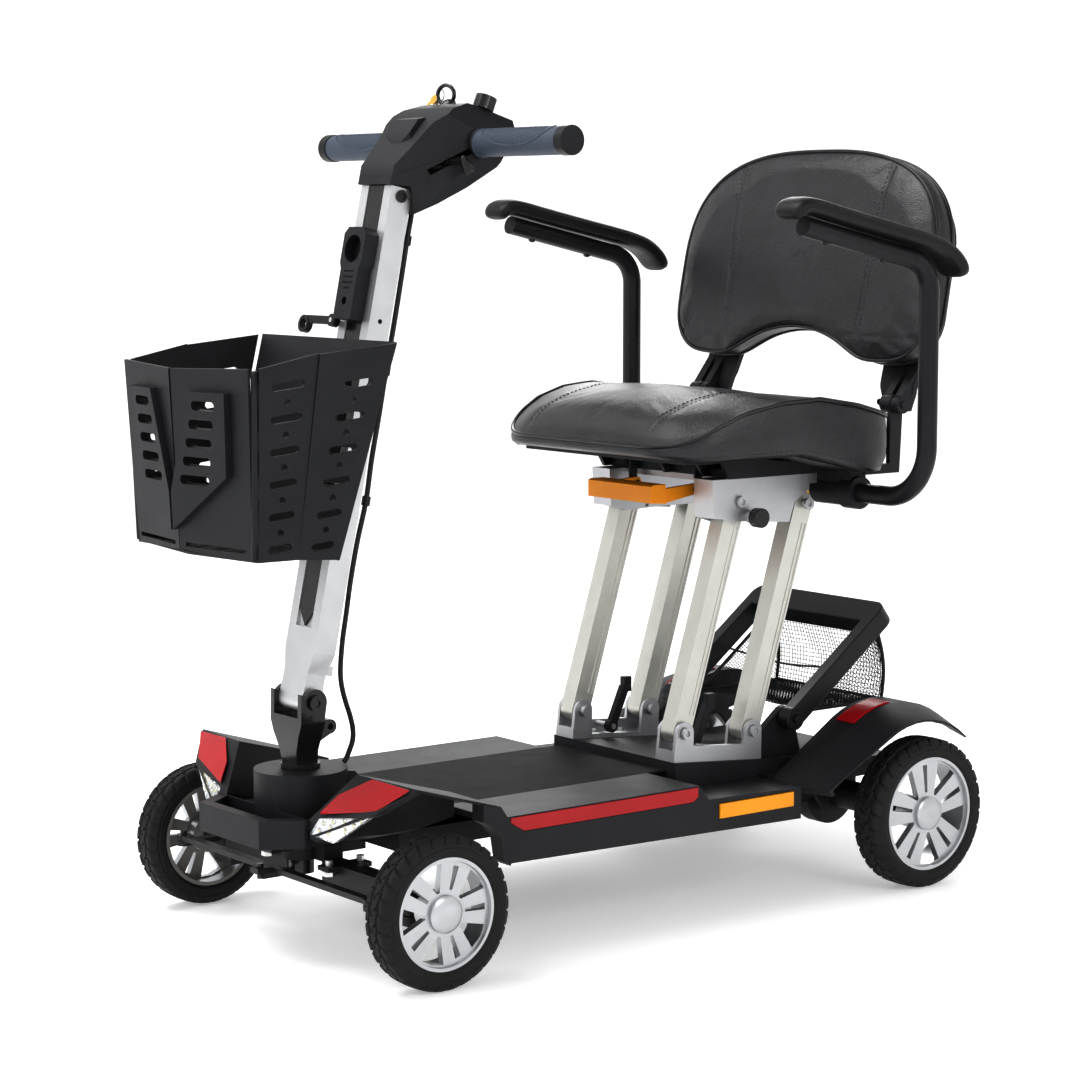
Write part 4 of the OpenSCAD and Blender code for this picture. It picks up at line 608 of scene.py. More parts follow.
def ring_mesh(name, rings, middle_first, middle_last):
    """Closed mesh over rings of points, closed by a point at each end."""
    count = len(rings[0])
    verts = [tuple(middle_first)]
    for ring in rings:
        verts += [tuple(p) for p in ring]
    verts.append(tuple(middle_last))
    faces = []
    for k in range(count):
        faces.append((0, 1 + k, 1 + (k + 1) % count))
    faces += [(a, d, c, b) for a, b, c, d in band_faces(len(rings), count, base=1)]
    a = 1 + (len(rings) - 1) * count
    for k in range(count):
        faces.append((a + k, len(verts) - 1, a + (k + 1) % count))
    return new_mesh(name, verts, faces, smooth=True, outward=True)


def inflate(mesh, cap, pinned, frames=14, pressure=4.0):
    """Swells a mesh with a short cloth simulation; pinned vertices stay and no other moves over cap."""
    obj = new_object("inflating", mesh)
    group = obj.vertex_groups.new(name="pinned")
    group.add(list(pinned), 1.0, "REPLACE")
    cloth = obj.modifiers.new("cloth", "CLOTH")
    cloth.settings.use_pressure = True
    cloth.settings.uniform_pressure_force = pressure
    cloth.settings.effector_weights.gravity = 0
    cloth.settings.vertex_group_mass = "pinned"
    cloth.settings.quality = 4
    scene = bpy.context.scene
    before = np.array([v.co for v in mesh.vertices])
    for step in range(1, frames + 1):
        scene.frame_set(step)
    depsgraph = bpy.context.evaluated_depsgraph_get()
    swollen = bpy.data.meshes.new_from_object(obj.evaluated_get(depsgraph))
    after = np.array([v.co for v in swollen.vertices])
    scene.frame_set(1)
    bpy.data.objects.remove(obj)
    move = after - before
    length = np.linalg.norm(move, axis=1, keepdims=True)
    move *= np.minimum(1, cap / np.maximum(length, 1e-9))
    swollen.vertices.foreach_set("co", (before + move).astype(np.float32).ravel())
    swollen.update()
    for face in swollen.polygons:
        face.use_smooth = True
    return swollen


def soft_object(cad_node, mesh, material):
    obj = add_object(cad_node + "_soft", mesh, material, BODY_OF[cad_node])
    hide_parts(cad_node)
    return obj


def bvh_of(obj):
    return BVHTree.FromObject(obj, bpy.context.evaluated_depsgraph_get())


def cast(tree, start, direction):
    """Point and normal where a ray meets the mesh, or nothing."""
    hit = tree.ray_cast(start, direction)
    return (hit[0], hit[1]) if hit[0] is not None else None


def stitch_row(verts, faces, path, normals, length, gap, radius, lift=0.0003):
    """Adds raised stitches along a path of surface points."""
    spans = [0.0]
    for a, b in zip(path, path[1:]):
        spans.append(spans[-1] + (b - a).length)
    total = spans[-1]

    def at(distance):
        i = max(0, min(len(spans) - 2, int(np.searchsorted(spans, distance)) - 1))
        t = (distance - spans[i]) / max(1e-9, spans[i + 1] - spans[i])
        return path[i].lerp(path[i + 1], t), normals[i].lerp(normals[i + 1], t).normalized()

    start = gap
    while start + length < total:
        base = len(verts)
        for step, size in ((0.0, 0.35), (0.25, 1.0), (0.75, 1.0), (1.0, 0.35)):
            point, normal = at(start + length * step)
            ahead, _ = at(min(total, start + length * step + 0.001))
            along = (ahead - point).normalized() if (ahead - point).length > 1e-7 else Vector((0, 1, 0))
            side = along.cross(normal).normalized()
            height = lift if 0.0 < step < 1.0 else -0.0002
            for k in range(6):
                turn = math.pi * k / 3
                spread = side * (radius * size * math.cos(turn)) + normal * (radius * size * 0.8 * math.sin(turn))
                verts.append(tuple(point + normal * height + spread))
        faces += band_faces(4, 6, base)
        faces.append(tuple(base + k for k in range(6))[::-1])
        faces.append(tuple(base + 18 + k for k in range(6)))
        start += length + gap


def stitch_object(name, rows, body, length=0.0052, gap=0.0020, radius=0.00055):
    verts, faces = [], []
    for path, normals in rows:
        stitch_row(verts, faces, path, normals, length, gap, radius)
    return add_object(name, new_mesh(name, verts, faces, smooth=True), "thread", body)


def surface_row(tree, points, direction):
    """Surface points and normals met by parallel rays."""
    path, normals = [], []
    for p in points:
        hit = cast(tree, p, direction)
        if hit:
            path.append(hit[0])
            normals.append(hit[1])
    return path, normals


def outward_from(centre, point):
    """Unit vector from a centre to an outline point."""
    away = np.array(point) - np.array(centre)
    return away / np.linalg.norm(away)


def toward(centre, point, share):
    """Outline point drawn in to a share of its distance from the centre."""
    return centre[0] + (point[0] - centre[0]) * share, centre[1] + (point[1] - centre[1]) * share


def groove(distance, depth, width):
    return depth * math.exp(-(distance / width) ** 2)


# Seat cushion: height of the crown along the middle, of the piping along the side, and of the underside

CROWN = ([425, 440, 458, 500, 556, 600, 677, 730, 790], [628, 642, 652, 665, 674, 671, 659, 652, 645])
SIDE_PIPE = ([425, 440, 460, 485, 519, 570, 629, 700, 769, 790], [607, 611, 620, 634, 650, 662, 666, 655, 637, 630])
UNDER = ([415, 455, 520, 605, 733, 791], [603, 596.5, 598.5, 602, 574, 574])
SEAT_CIRCLES = [(s * x, y, r) for s in (-1, 1) for x, y, r in ((122, 513, 88), (146, 616, 88), (178, 732, 52))]
SEAT_MIDDLE = (0.0, 612.0)
SEAT_SEAM_X = 128.0
HEM_DROP = 9.0


def seat_top(x, y, rho, edge_height):
    """Height of the seat's top at a plan point, rho being 0 at the middle and 1 at the piping."""
    crown = float(np.interp(y, *CROWN))
    side = float(np.interp(y, *SIDE_PIPE))
    across = min(1.0, abs(x) / 215)
    height = crown + (side - crown) * across ** 2.6
    dish = 3.5 * math.exp(-((abs(x) - 70) / 55) ** 2) * math.exp(-((y - 690) / 90) ** 2)
    height -= dish
    height -= groove(abs(x) - SEAT_SEAM_X, 1.8, 4.0)
    roll = max(0.0, (rho - 0.80) / 0.20)
    return edge_height + (height + 1.5 - edge_height) * math.sqrt(max(0.0, 1 - roll ** 2.4))


def make_seat_cushion():
    count, inner = 300, 54
    outline = outline_of(SEAT_CIRCLES, SEAT_MIDDLE, count)
    pipe = np.array([float(np.interp(p[1], *SIDE_PIPE)) for p in outline])
    under = np.array([float(np.interp(p[1], *UNDER)) for p in outline])
    wobble = random.Random(7)
    folds = [(wobble.uniform(0, 2 * math.pi), wobble.uniform(9, 17), wobble.uniform(0.3, 0.7)) for _ in range(6)]
    rings = []
    for k in range(1, inner + 1):
        rho = (k / inner) ** 0.9
        ring = []
        for i, p in enumerate(outline):
            x, y = toward(SEAT_MIDDLE, p, rho)
            ring.append(ground(x, y, seat_top(x, y, rho, pipe[i])))
        rings.append(ring)
    pipe_row = len(rings)
    side_steps = 12
    for k in range(1, side_steps + 1):
        t = k / side_steps
        ring = []
        for i, p in enumerate(outline):
            away = outward_from(SEAT_MIDDLE, p)
            turn = 2 * math.pi * i / count
            crease = sum(a * math.sin(turn * f + ph + 4 * t) for ph, f, a in folds) * 0.35 * math.sin(math.pi * t)
            bulge = 3.2 * math.sin(math.pi * min(1.0, t * 1.05)) - 5 * max(0.0, t - 0.75) / 0.25 + crease
            hem = under[i] - HEM_DROP
            ring.append(ground(p[0] + away[0] * bulge, p[1] + away[1] * bulge, pipe[i] + (hem - pipe[i]) * t))
        rings.append(ring)
    hem_row = len(rings)
    for k in range(1, 11):
        rho = 1 - k / 11
        ring = []
        for p in outline:
            x, y = toward(SEAT_MIDDLE, p, 0.97 * rho)
            ring.append(ground(x, y, float(np.interp(y, *UNDER)) - 0.2))
        rings.append(ring)
    top_middle = ground(0, SEAT_MIDDLE[1], seat_top(0, SEAT_MIDDLE[1], 0, 0))
    low_middle = ground(0, SEAT_MIDDLE[1], float(np.interp(SEAT_MIDDLE[1], *UNDER)) - 0.2)
    mesh = ring_mesh("seat_cushion_soft", rings, top_middle, low_middle)
    pinned = list(range(1 + (pipe_row - 1) * count, 1 + pipe_row * count))
    pinned += list(range(1 + (hem_row - 1) * count, len(mesh.vertices)))
    seam = [v.index for v in mesh.vertices
            if abs(abs(v.co.x) - SEAT_SEAM_X * MM) < 0.0025 and v.index < pipe_row * count]
    mesh = inflate(mesh, 0.0035, pinned + seam)
    obj = soft_object("seat_cushion", mesh, "leatherette")
    edge = []
    for i, p in enumerate(outline):
        away = outward_from(SEAT_MIDDLE, p)
        edge.append(ground(p[0] + away[0] * 1.2, p[1] + away[1] * 1.2, pipe[i]))
    piping = tube_mesh("seat_piping", edge, 0.0027, 10, closed=True)
    add_object("seat_piping", piping, "piping", "seat")
    tree = bvh_of(obj)
    rows = []
    down = Vector((0, 0, -1))
    for side in (-1, 1):
        for offset in (-4.5, 4.5):
            line = [ground(side * (SEAT_SEAM_X + 0.03 * (y - 600)) + offset, y, 760) for y in range(436, 782, 4)]
            rows.append(surface_row(tree, line, down))
    stitch_object("seat_stitches", rows, "seat")
    path, normals = [], []
    for i in range(0, count, 2):
        p = outline[i]
        if p[1] < 455:
            continue
        away = Vector((*outward_from(SEAT_MIDDLE, p), 0))
        hit = cast(tree, ground(p[0], p[1], under[i] - HEM_DROP + 7) + away * 0.05, -away)
        if hit:
            path.append(hit[0])
            normals.append(hit[1])
    split = max(range(1, len(path)), key=lambda i: (path[i] - path[i - 1]).length)
    path, normals = path[split:] + path[:split], normals[split:] + normals[:split]
    stitch_object("seat_hem_stitches", [(path, normals)], "seat")


BACK_LEAN = math.radians(10.4)
BACK_FOOT = (807.4, 700.9)
BACK_CIRCLES = [(s * x, z, r) for s in (-1, 1) for x, z, r in ((191, 67, 62), (162, 160, 91), (120, 196, 95))]
BACK_MIDDLE = (0.0, 152.0)
ARCH = (0.0, -168.0, 215.5)
SHOULDER = (252.5, 118.0, 172.5, 2.8)
BACK_SEAM = ([20, 37, 150, 290], [128, 131, 140, 152])


def back_point(x, y, z):
    """Point of the leaning backrest frame (x across, y through, z up) in the row frame."""
    c, s = math.cos(BACK_LEAN), math.sin(BACK_LEAN)
    return ground(x, BACK_FOOT[0] + y * c + z * s, BACK_FOOT[1] - y * s + z * c)


def arch_seam_z(x):
    """Height of the seam that follows the arch and then runs level."""
    over_arch = math.sqrt(max(0.0, (ARCH[2] + 9) ** 2 - x * x)) + ARCH[1] if abs(x) < ARCH[2] else -99
    return max(34.0, over_arch)


def back_front(x, z, rho):
    roll = max(0.0, (rho - 0.80) / 0.20)
    crown = 7.5 * (1 - (abs(x) / 262) ** 2) + 2.0 * math.sin(math.pi * min(1.0, max(0.0, z / 290)))
    wings = 7.0 * max(0.0, (abs(x) - 140) / 110) ** 1.5
    seam = groove(abs(x) - float(np.interp(z, *BACK_SEAM)), 1.8, 4.2) if z > 36 else 0.0
    seam += groove(z - arch_seam_z(x), 1.8, 4.0)
    return -12.5 - (crown + wings + 1.5 - seam) * math.sqrt(max(0.0, 1 - roll ** 2.3))


def shoulder(p):
    """Moves an outline point of the upper back out to one smooth shoulder curve."""
    x, z = p[0], p[1] - SHOULDER[1]
    if z <= 0:
        return p
    half_w, half_h, power = SHOULDER[0], SHOULDER[2], SHOULDER[3]
    size = ((abs(x) / half_w) ** power + (z / half_h) ** power) ** (1 / power)
    return np.array([x / size, SHOULDER[1] + z / size])


def make_back_cushion():
    count, inner = 320, 54
    outline = outline_of(BACK_CIRCLES, BACK_MIDDLE, count, ARCH, rounds=8)
    outline = np.array([shoulder(p) for p in outline])
    for _ in range(4):
        outline = outline * 0.5 + 0.25 * (np.roll(outline, 1, axis=0) + np.roll(outline, -1, axis=0))
    wobble = random.Random(11)
    folds = [(wobble.uniform(0, 2 * math.pi), wobble.uniform(7, 15), wobble.uniform(0.3, 0.8)) for _ in range(5)]
    rings = []
    for k in range(1, inner + 1):
        rho = (k / inner) ** 0.9
        rings.append([
            back_point(x, back_front(x, z, rho), z)
            for x, z in (toward(BACK_MIDDLE, p, rho) for p in outline)
        ])
    pipe_row = len(rings)
    for k in range(1, 11):
        t = k / 10
        ring = []
        for i, p in enumerate(outline):
            away = outward_from(BACK_MIDDLE, p)
            turn = 2 * math.pi * i / count
            crease = sum(a * math.sin(turn * f + ph) for ph, f, a in folds) * 0.3 * math.sin(math.pi * t)
            bulge = 2.6 * math.sin(math.pi * t) + crease
            ring.append(back_point(p[0] + away[0] * bulge, -12.5 + 29.5 * t, p[1] + away[1] * bulge))
        rings.append(ring)
    rear_row = len(rings)
    for k in range(1, 11):
        rho = 1 - k / 11
        depth = 17 + 3.5 * min(1.0, k / 3)
        rings.append([back_point(x, depth, z) for x, z in (toward(BACK_MIDDLE, p, rho) for p in outline)])
    front = back_point(0, back_front(0, BACK_MIDDLE[1], 0), BACK_MIDDLE[1])
    mesh = ring_mesh("back_cushion_soft", rings, front, back_point(0, 20.5, BACK_MIDDLE[1]))
    pinned = list(range(1 + (pipe_row - 1) * count, 1 + pipe_row * count))
    pinned += list(range(1 + (rear_row - 1) * count, len(mesh.vertices)))
    mesh = inflate(mesh, 0.003, pinned)
    obj = soft_object("back_cushion", mesh, "leatherette")
    for name, depth in (("back_piping_front", -12.5), ("back_piping_rear", 15.0)):
        edge = []
        for p in outline:
            away = outward_from(BACK_MIDDLE, p)
            edge.append(back_point(p[0] + away[0] * 1.3, depth, p[1] + away[1] * 1.3))
        add_object(name, tube_mesh(name, edge, 0.0026, 10, closed=True), "piping", "backrest")
    tree = bvh_of(obj)
    c, s = math.cos(BACK_LEAN), math.sin(BACK_LEAN)
    inward = Vector((0, c, -s))
    rows = []
    for side in (-1, 1):
        for offset in (-4.5, 4.5):
            line = [back_point(side * float(np.interp(z, *BACK_SEAM)) + offset, -90, z) for z in range(40, 284, 4)]
            rows.append(surface_row(tree, line, inward))
    line = [back_point(x, -90, arch_seam_z(x) - 3.0) for x in range(-236, 237, 4)]
    rows.append(surface_row(tree, line, inward))
    stitch_object("back_stitches", rows, "backrest")


PAD_SLOPE = math.radians(12.4)
PAD_ORIGIN = (303.0, 712.4, 802.7)


def pad_point(side, x, y, z):
    c, s = math.cos(PAD_SLOPE), math.sin(PAD_SLOPE)
    up = z + 45
    return ground(side * (PAD_ORIGIN[0] + x), PAD_ORIGIN[1] + y * c + up * s, PAD_ORIGIN[2] - y * s + up * c)


def make_arm_pad(side):
    spine = smooth_path(
        [(0, -219, 3), (0, -217, 14), (0, -207, 22.5), (0, -188, 25), (0, -150, 25), (0, -100, 25), (0, -40, 25.5),
         (0, 10, 25.5), (0, 42, 22.5), (0, 64, 14.5), (0, 80, 3), (0, 87, -5)], 10)
    rings = []
    count = 72
    total = len(spine)
    for i, p in enumerate(spine):
        ahead = spine[min(i + 1, total - 1)] - spine[max(i - 1, 0)]
        ahead.normalize()
        up = Vector((0, -ahead.z, ahead.y))
        from_front, from_rear = i / total, 1 - (i + 1) / total
        ease = min(1.0, math.sqrt(max(0.02, 1 - (1 - min(1.0, from_front * 7)) ** 2)))
        ease = min(ease, math.sqrt(max(0.02, 1 - (1 - min(1.0, from_rear * 7)) ** 2)))
        half_w, half_h = 26.5 * (0.35 + 0.65 * ease), 10.8 * (0.25 + 0.75 * ease)
        ring = []
        for k in range(count):
            turn = 2 * math.pi * k / count
            cx, cz = math.cos(turn), math.sin(turn)
            x = half_w * math.copysign(abs(cx) ** 0.62, cx)
            z = half_h * math.copysign(abs(cz) ** 0.72, cz)
            if abs(cx) > 0.45:
                rib = 0.75 * (1 + math.cos(z / half_h * math.pi * 4.0)) / 2 * min(1.0, ease)
                x -= math.copysign(rib, cx)
            q = p + up * z
            ring.append(pad_point(side, x, q.y, q.z))
        rings.append(ring)
    cad_node = "armrest_pad_" + side_name(side)
    mesh = ring_mesh(cad_node + "_soft", rings, pad_point(side, 0, spine[0].y, spine[0].z - 1),
                     pad_point(side, 0, spine[-1].y, spine[-1].z))
    soft_object(cad_node, mesh, "pad_foam")


make_seat_cushion()
make_back_cushion()
for side in (1, -1):
    make_arm_pad(side)


# ---- Fine pieces that the CAD solids don't hold ----

def solid_object(name, verts, faces, material, body, bevel=0.0, smooth=30):
    mesh = new_mesh(name, verts, faces, outward=True)
    smooth_by_angle(mesh, smooth)
    obj = add_object(name, mesh, material, body)
    if bevel:
        add_bevel(obj, bevel * MM, 2)
    return obj


class Shapes:
    """Gathers many small solids of one material into one mesh."""

    def __init__(self):
        self.verts, self.faces = [], []

    def add(self, verts, faces):
        base = len(self.verts)
        self.verts += [Vector(v) for v in verts]
        self.faces += [tuple(base + i for i in f) for f in faces]

    def spin(self, at, axis, profile, sides=20, start=None):
        """A closed solid of revolution: profile gives (radius, distance along axis) from one end."""
        axis = Vector(axis).normalized()
        u = Vector(start).normalized() if start else axis.orthogonal().normalized()
        v = axis.cross(u)
        at = Vector(at)
        verts = []
        for r, h in profile:
            for k in range(sides):
                t = 2 * math.pi * k / sides
                verts.append(at + axis * h + u * (r * math.cos(t)) + v * (r * math.sin(t)))
        faces = band_faces(len(profile), sides)
        faces.append(tuple(range(sides))[::-1])
        faces.append(tuple((len(profile) - 1) * sides + k for k in range(sides)))
        self.add(verts, faces)

    def bolt(self, at, axis, r, h):
        """Round head with a round socket sunk in it."""
        sunk = h * 0.35
        rim = [(r, 0), (r, h * 0.75), (r * 0.9, h), (r * 0.6, h), (r * 0.55, sunk), (0.01 * MM, sunk)]
        self.spin(at, axis, rim, 24)

    def dome(self, at, axis, r, h):
        self.spin(at, axis, [(r, -0.3 * h), (r, 0.0), (r * 0.85, h * 0.55), (r * 0.5, h * 0.9), (r * 0.12, h)], 14)

    def make(self, name, material, body, slot=None, smooth=35):
        return solid_object(name, self.verts, self.faces, material, body, smooth=smooth)


X_AXIS = Vector((1, 0, 0))

# Raised dots and end caps of the grips
BAR = (203.0, 989.0)


def make_grips():
    obj = dress("grips", width=1.4)
    obj.data.materials.append(MATERIALS["black_steel"])
    for face in obj.data.polygons:
        if abs(face.center.x) / MM > 244 or abs(face.center.x) / MM < 83.9:
            face.material_index = 1
    dots = Shapes()
    for side in (-1, 1):
        for i in range(24):
            along = 106 + i * 4.9
            reach = 1 - ((along - 162) / 64) ** 2
            half_turn = 78 * math.sqrt(max(0.0, reach))
            rows = int(half_turn / 11)
            for j in range(-rows, rows + 1):
                turn = math.radians(108 + (j + 0.5 * (i % 2)) * 11)
                out = Vector((0, math.cos(turn), math.sin(turn)))
                at = ground(side * along, BAR[0], BAR[1]) + out * 16.9 * MM
                dots.dome(at, out, 1.25 * MM, 0.9 * MM)
        border = []
        for k in range(48):
            t = 2 * math.pi * k / 48
            turn = math.radians(108 + 88 * math.sin(t))
            at = ground(side * (162 + 68 * math.cos(t)), BAR[0], BAR[1])
            border.append(at + Vector((0, math.cos(turn), math.sin(turn))) * 17.0 * MM)
        add_object(f"grip_border_{'left' if side > 0 else 'right'}",
                   tube_mesh("grip_border", border, 0.0011, 8, closed=True), "grip_rubber", "tiller")
    dots.make("grip_dots", "grip_rubber", "tiller")


make_grips()


# Plain raised plate on the head, with a keel below it
plate = [
    (-25, 147, 1019), (25, 147, 1019), (25, 132.5, 1001.5), (-25, 132.5, 1001.5),
    (-23, 160, 1021.5), (23, 160, 1021.5), (26, 137, 993), (-26, 137, 993), (0, 128, 982), (0, 135, 984),
]
solid_object(
    "head_plate", [ground(*p) for p in plate],
    [(0, 1, 2, 3), (4, 5, 1, 0), (1, 5, 6, 2), (0, 3, 7, 4), (3, 2, 8), (2, 6, 8), (3, 8, 7), (6, 9, 8), (7, 8, 9),
     (4, 7, 9, 6, 5)],
    "body_plastic", "tiller", bevel=0.7)

bolts = Shapes()
for side in (-1, 1):
    bolts.bolt(ground(side * 33, 115, 924), X_AXIS * side, 7.8 * MM, 3.2 * MM)
bolts.make("column_bolts", "black_gloss", "tiller")


def make_key():
    """Key bow, its loop and the spare keys hanging from it, on the key's own body."""
    loop_at = ground(-20, 226, 1052)
    ring = []
    for k in range(40):
        t = 2 * math.pi * k / 40
        ring.append(loop_at + Vector((-7 + 15 * math.cos(t), 2 * math.cos(t), 12 * math.sin(t))) * MM)
    loop = tube_mesh("key_loop", ring, 0.0026, 12, closed=True)
    obj = add_object("key_loop", loop, "black_gloss", "key")
    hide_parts("ignition_key")
    base = Shapes()
    profile = [(5.9, -6), (5.9, 7), (9.5, 8), (9.8, 12), (7, 15), (3, 16)]
    base.spin(ground(-20, 228.5, 1031), (0, -0.37, 0.93), [(r * MM, h * MM) for r, h in profile], 28)
    base.make("key_base", "black_gloss", "key", "key_steel")
    ring = []
    for k in range(28):
        t = 2 * math.pi * k / 28
        ring.append(ground(-38, 224, 1052) + Vector((7 * math.cos(t), 2, 7 * math.sin(t))) * MM)
    add_object("key_ring", tube_mesh("key_ring", ring, 0.0008, 8, closed=True), "key_steel", "key")
    for name, material, lean, shift in (("key_blade_a", "gold", 0.5, 0), ("key_blade_b", "key_steel", 0.9, 3)):
        c, s = math.cos(lean), math.sin(lean)
        outline = [(0, -4.5), (9, -5), (10.5, -2.6), (24, -2.4), (24.8, -1.2), (23, 0), (21.5, -0.4), (20, 1),
                   (17, 0.2), (14, 1.6), (10.5, 1.8), (9, 4.6), (0, 4.5), (-2.4, 0)]
        verts = []
        for thick in (-0.8, 0.8):
            for a, b in outline:
                verts.append(ground(-43 - a * c + b * s, 222 + shift + thick, 1049 - a * s - b * c))
        n = len(outline)
        faces = [tuple(range(n)), tuple(range(n, 2 * n))[::-1]]
        faces += [(i, (i + 1) % n, n + (i + 1) % n, n + i) for i in range(n)]
        solid_object(name, verts, faces, material, "key", bevel=0.2)


make_key()

for side in (-1, 1):
    strip = [ground(side * (133.5 + 10 * t), -162.5 - 4 * t, 506 + 218 * t) for t in (0, 0.25, 0.5, 0.75, 1)]
    add_object("basket_corner_" + side_name(side), tube_mesh("basket_corner", strip, 0.0042, 12),
               "body_plastic", "basket")


# Light chips behind each headlight's lens
LAMP = [Vector(p) for p in ((196, -49, 198), (117, -67, 186), (109, -75, 167), (145, -66, 161))]
CUP = [(3.5 * MM, 0), (3.7 * MM, 0.6 * MM), (2.2 * MM, 1.9 * MM), (1.9 * MM, 1.6 * MM)]


def make_lamps():
    for side in (-1, 1):
        name = side_name(side)
        corners = [Vector((p.x * side, p.y + 4.6, p.z)) for p in LAMP]
        verts = [ground(*c) for c in corners] + [ground(c.x, c.y + 1.2, c.z) for c in corners]
        solid_object(f"lamp_reflector_{name}", verts, [(0, 1, 2, 3), (7, 6, 5, 4), (0, 4, 5, 1), (1, 5, 6, 2),
                     (2, 6, 7, 3), (3, 7, 4, 0)], "reflector_cup", "chassis")
        cups, chips = Shapes(), Shapes()
        for u, v in ((0.20, 0.5), (0.36, 0.28), (0.38, 0.72), (0.54, 0.22), (0.56, 0.52), (0.57, 0.82), (0.72, 0.22),
                     (0.74, 0.50), (0.75, 0.80), (0.89, 0.30), (0.90, 0.70)):
            top = corners[0].lerp(corners[1], u)
            low = corners[0].lerp(corners[3], min(1.0, u * 1.15)).lerp(corners[2], max(0.0, (u - 0.55) / 0.45))
            at = top.lerp(low, v)
            cups.spin(ground(at.x, at.y + 0.2, at.z), (0, -1, 0), CUP, 16)
            chips.dome(ground(at.x, at.y - 1.6, at.z), (0, -1, 0), 1.9 * MM, 1.1 * MM)
        cups.make(f"lamp_cups_{name}", "reflector_cup", "chassis", "lamp_clear")
        chips.make(f"lamp_chips_{name}", "led_chip", "chassis", "lamp_clear")


make_lamps()


# Springs beside the armrest sockets, screws under the armrests, hinge screws
def make_seat_fittings():
    screws = Shapes()
    for side in (-1, 1):
        name = side_name(side)
        coil = []
        for k in range(150):
            t = k / 149
            turn = 2 * math.pi * 6.5 * t
            coil.append(ground(side * (83 + 15 * t), 757.4 + 12.5 * math.cos(turn), 531.9 + 12.5 * math.sin(turn)))
        spring = tube_mesh("socket_spring", coil, 0.0011, 8)
        add_object(f"socket_spring_{name}", spring, "gold", "seat")
        under = Shapes()
        for along in (-150, -48):
            at = pad_point(side, 0, along, -12.6)
            down = (pad_point(side, 0, along, -14) - at).normalized()
            under.dome(at, down, 5.2 * MM, 3.4 * MM)
        under.make(f"arm_screws_{name}", "black_gloss", f"arm_{'l' if side > 0 else 'r'}", "black_steel")
        screws.bolt(ground(side * 172, 801, 652), Vector((0, -1, 0)), 4.6 * MM, 3 * MM)
    screws.make("hinge_screws", "black_gloss", "seat", "black_steel")


make_seat_fittings()


# Net bag behind the seat, hung from the carry frame's arms
CARRY_PIVOT = (690.0, 225.0)
CARRY_RISE = math.radians(37)


def from_pivot(x, y, z):
    """Point measured from the carry frame's pivot."""
    return ground(x, CARRY_PIVOT[0] + y, CARRY_PIVOT[1] + z)


def bag_rim(t):
    """Point of the frame's underside, t from 0 at the pivot end to 1 at the handle."""
    reach = 38 + 164 * t
    return reach * math.cos(CARRY_RISE) + 9, reach * math.sin(CARRY_RISE) - 17


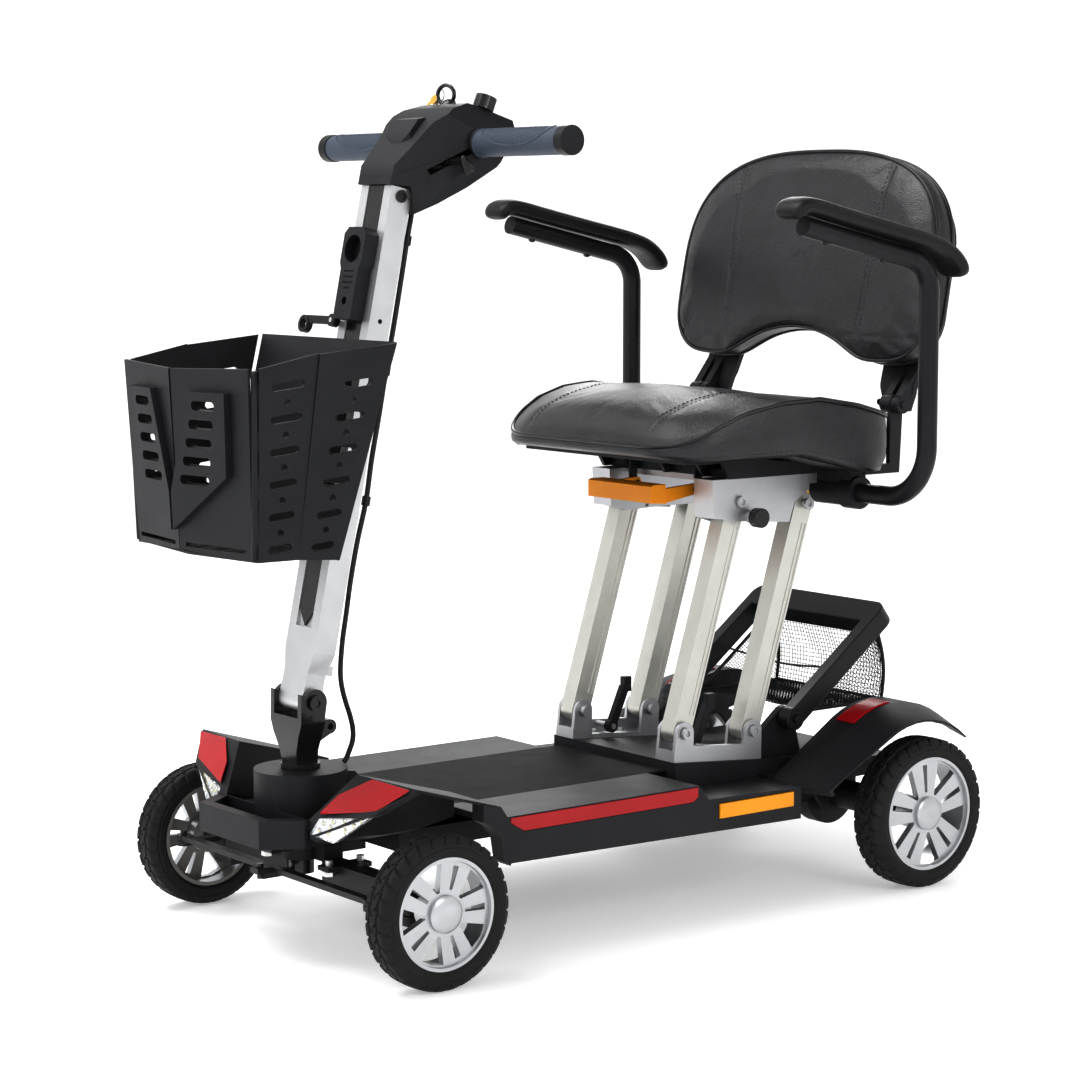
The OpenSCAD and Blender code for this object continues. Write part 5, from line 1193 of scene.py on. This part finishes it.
def make_bag():
    wobble = random.Random(3)
    phases = [wobble.uniform(0, 6.28) for _ in range(8)]

    def ripple(a, b):
        return (1.6 * math.sin(a * 0.055 + phases[0] + b * 0.03) + 1.2 * math.sin(b * 0.09 + phases[1])
                + 0.8 * math.sin(a * 0.12 + b * 0.07 + phases[2]))

    half = 108.0
    floor_y = [44 + 5.8 * i for i in range(25)]
    contour = [(y, 4.0) for y in floor_y]
    top_y, top_z = bag_rim(1.0)
    steps = 17
    for i in range(1, steps + 1):
        t = i / steps
        contour.append((183 + 9 * math.sin(math.pi * t) + (top_y + 2 - 183) * t, 4 + (top_z - 4) * t))
    columns = 38
    verts, faces = [], []
    for j, (y, z) in enumerate(contour):
        for i in range(columns):
            x = -half + 2 * half * i / (columns - 1)
            fade = math.sin(math.pi * i / (columns - 1))
            verts.append(from_pivot(x, y + ripple(x, z) * fade * (1 if z > 6 else 0.2),
                                    z + (ripple(x, y) * 0.6 + 1.2) * fade * (1 if z <= 6 else 0.3)))
    faces += band_faces(len(contour), columns, wrap=False)
    rows = 16
    for side in (-1, 1):
        base = len(verts)
        for j, (y, z) in enumerate(contour):
            ry, rz = bag_rim(j / (len(contour) - 1))
            for r in range(rows):
                q = r / (rows - 1)
                px, pz = y + (ry - y) * q, z + (rz - z) * q
                bow = math.sin(math.pi * q)
                verts.append(from_pivot(side * (half + 1.5 * bow + 0.42 * ripple(px, pz) * bow), px, pz))
        faces += band_faces(len(contour), rows, base, wrap=False)
    net = new_object("net", new_mesh("mesh_bag_net", verts, faces))
    wire = net.modifiers.new("wire", "WIREFRAME")
    wire.thickness = 0.0013
    wire.use_boundary = True
    wire.use_even_offset = False
    depsgraph = bpy.context.evaluated_depsgraph_get()
    threads = bpy.data.meshes.new_from_object(net.evaluated_get(depsgraph))
    bpy.data.objects.remove(net)
    obj = new_object("mesh_bag_net", threads, "bag_mesh")
    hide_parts("mesh_bag")
    blend_bag(obj)
    for side in (-1, 1):
        name = side_name(side)
        rim = [from_pivot(side * half, *bag_rim(t / 14)) for t in range(15)]
        low = [from_pivot(side * half, y, z) for y, z in contour]
        bind_bag(f"bag_binding_{name}", rim[:1] + low + rim[::-1][:1], 0.0026)
        bind_bag(f"bag_rim_{name}", rim, 0.0026)
    y, z = bag_rim(1.0)
    bind_bag("bag_binding_top", [from_pivot(-half + 12 * i, y + 2, z) for i in range(19)], 0.003)
    bind_bag("bag_binding_low", [from_pivot(-half + 12 * i, 184, 5) for i in range(19)], 0.0024)
    cord = [from_pivot(-half + 2, 92, 58), from_pivot(0, 96, 50), from_pivot(half - 2, 92, 58)]
    bind_bag("bag_cord", smooth_path(cord, 10), 0.0016)


def blend_bag(obj):
    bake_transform(obj)


def bind_bag(name, path, radius):
    obj = new_object(name, tube_mesh(name, path, radius, 8), "cable_sheath")
    blend_bag(obj)


make_bag()


# Cable: along the column, across the folding pivot, and round the steering to the deck
CABLE = [
    (4, 151.2, 909.2), (4, 150, 900), (6, 142, 870), (8, 133, 830), (8, 121, 770), (8, 108, 710), (8, 96, 650),
    (10, 84, 600), (12, 74, 550), (10, 62, 500), (6, 54, 450), (2, 50, 410), (0, 46, 380), (0, 43, 355),
    (0, 42, 335), (0, 44, 318), (0, 49, 300), (0, 56, 280), (0, 60, 262), (0, 59, 248), (0, 54, 236),
    (0, 50, 228), (0, 46, 223),
]


CABLE_RADIUS = 0.0033


def make_cable():
    path = smooth_path([ground(*p) for p in CABLE], 6)
    upper = [p for p in path if p.z > 0.428]
    middle = [p for p in path if 0.288 < p.z < 0.432]
    lower = [p for p in path if p.z < 0.292]
    tube = tube_mesh("cable_upper", upper, CABLE_RADIUS, 12)
    obj = add_object("cable_upper", tube, "cable_sheath", "tiller")
    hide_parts("tiller_cable")
    for name, part, bodies, ends in (
        ("cable_middle", middle, ("tiller", "steering"), ((2, 53, 430), (0, 46, 306))),
        ("cable_lower", lower, ("steering", "chassis"), ((0, 56, 290), (0, 50, 226))),
    ):
        piece = new_object(name, tube_mesh(name, part, CABLE_RADIUS, 12), "cable_sheath")
        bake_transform(piece)
    clips = Shapes()
    for x, y, z in ((6, 142, 870), (8, 108, 710), (12, 74, 550)):
        profile = [(5 * MM, 0), (5.4 * MM, 1 * MM), (5.4 * MM, 11 * MM), (5 * MM, 12 * MM)]
        clips.spin(ground(x, y - 1.2, z - 6), (0, 0.2, 0.98), profile, 20)
    clips.make("cable_clips", "black_steel", "tiller")


make_cable()
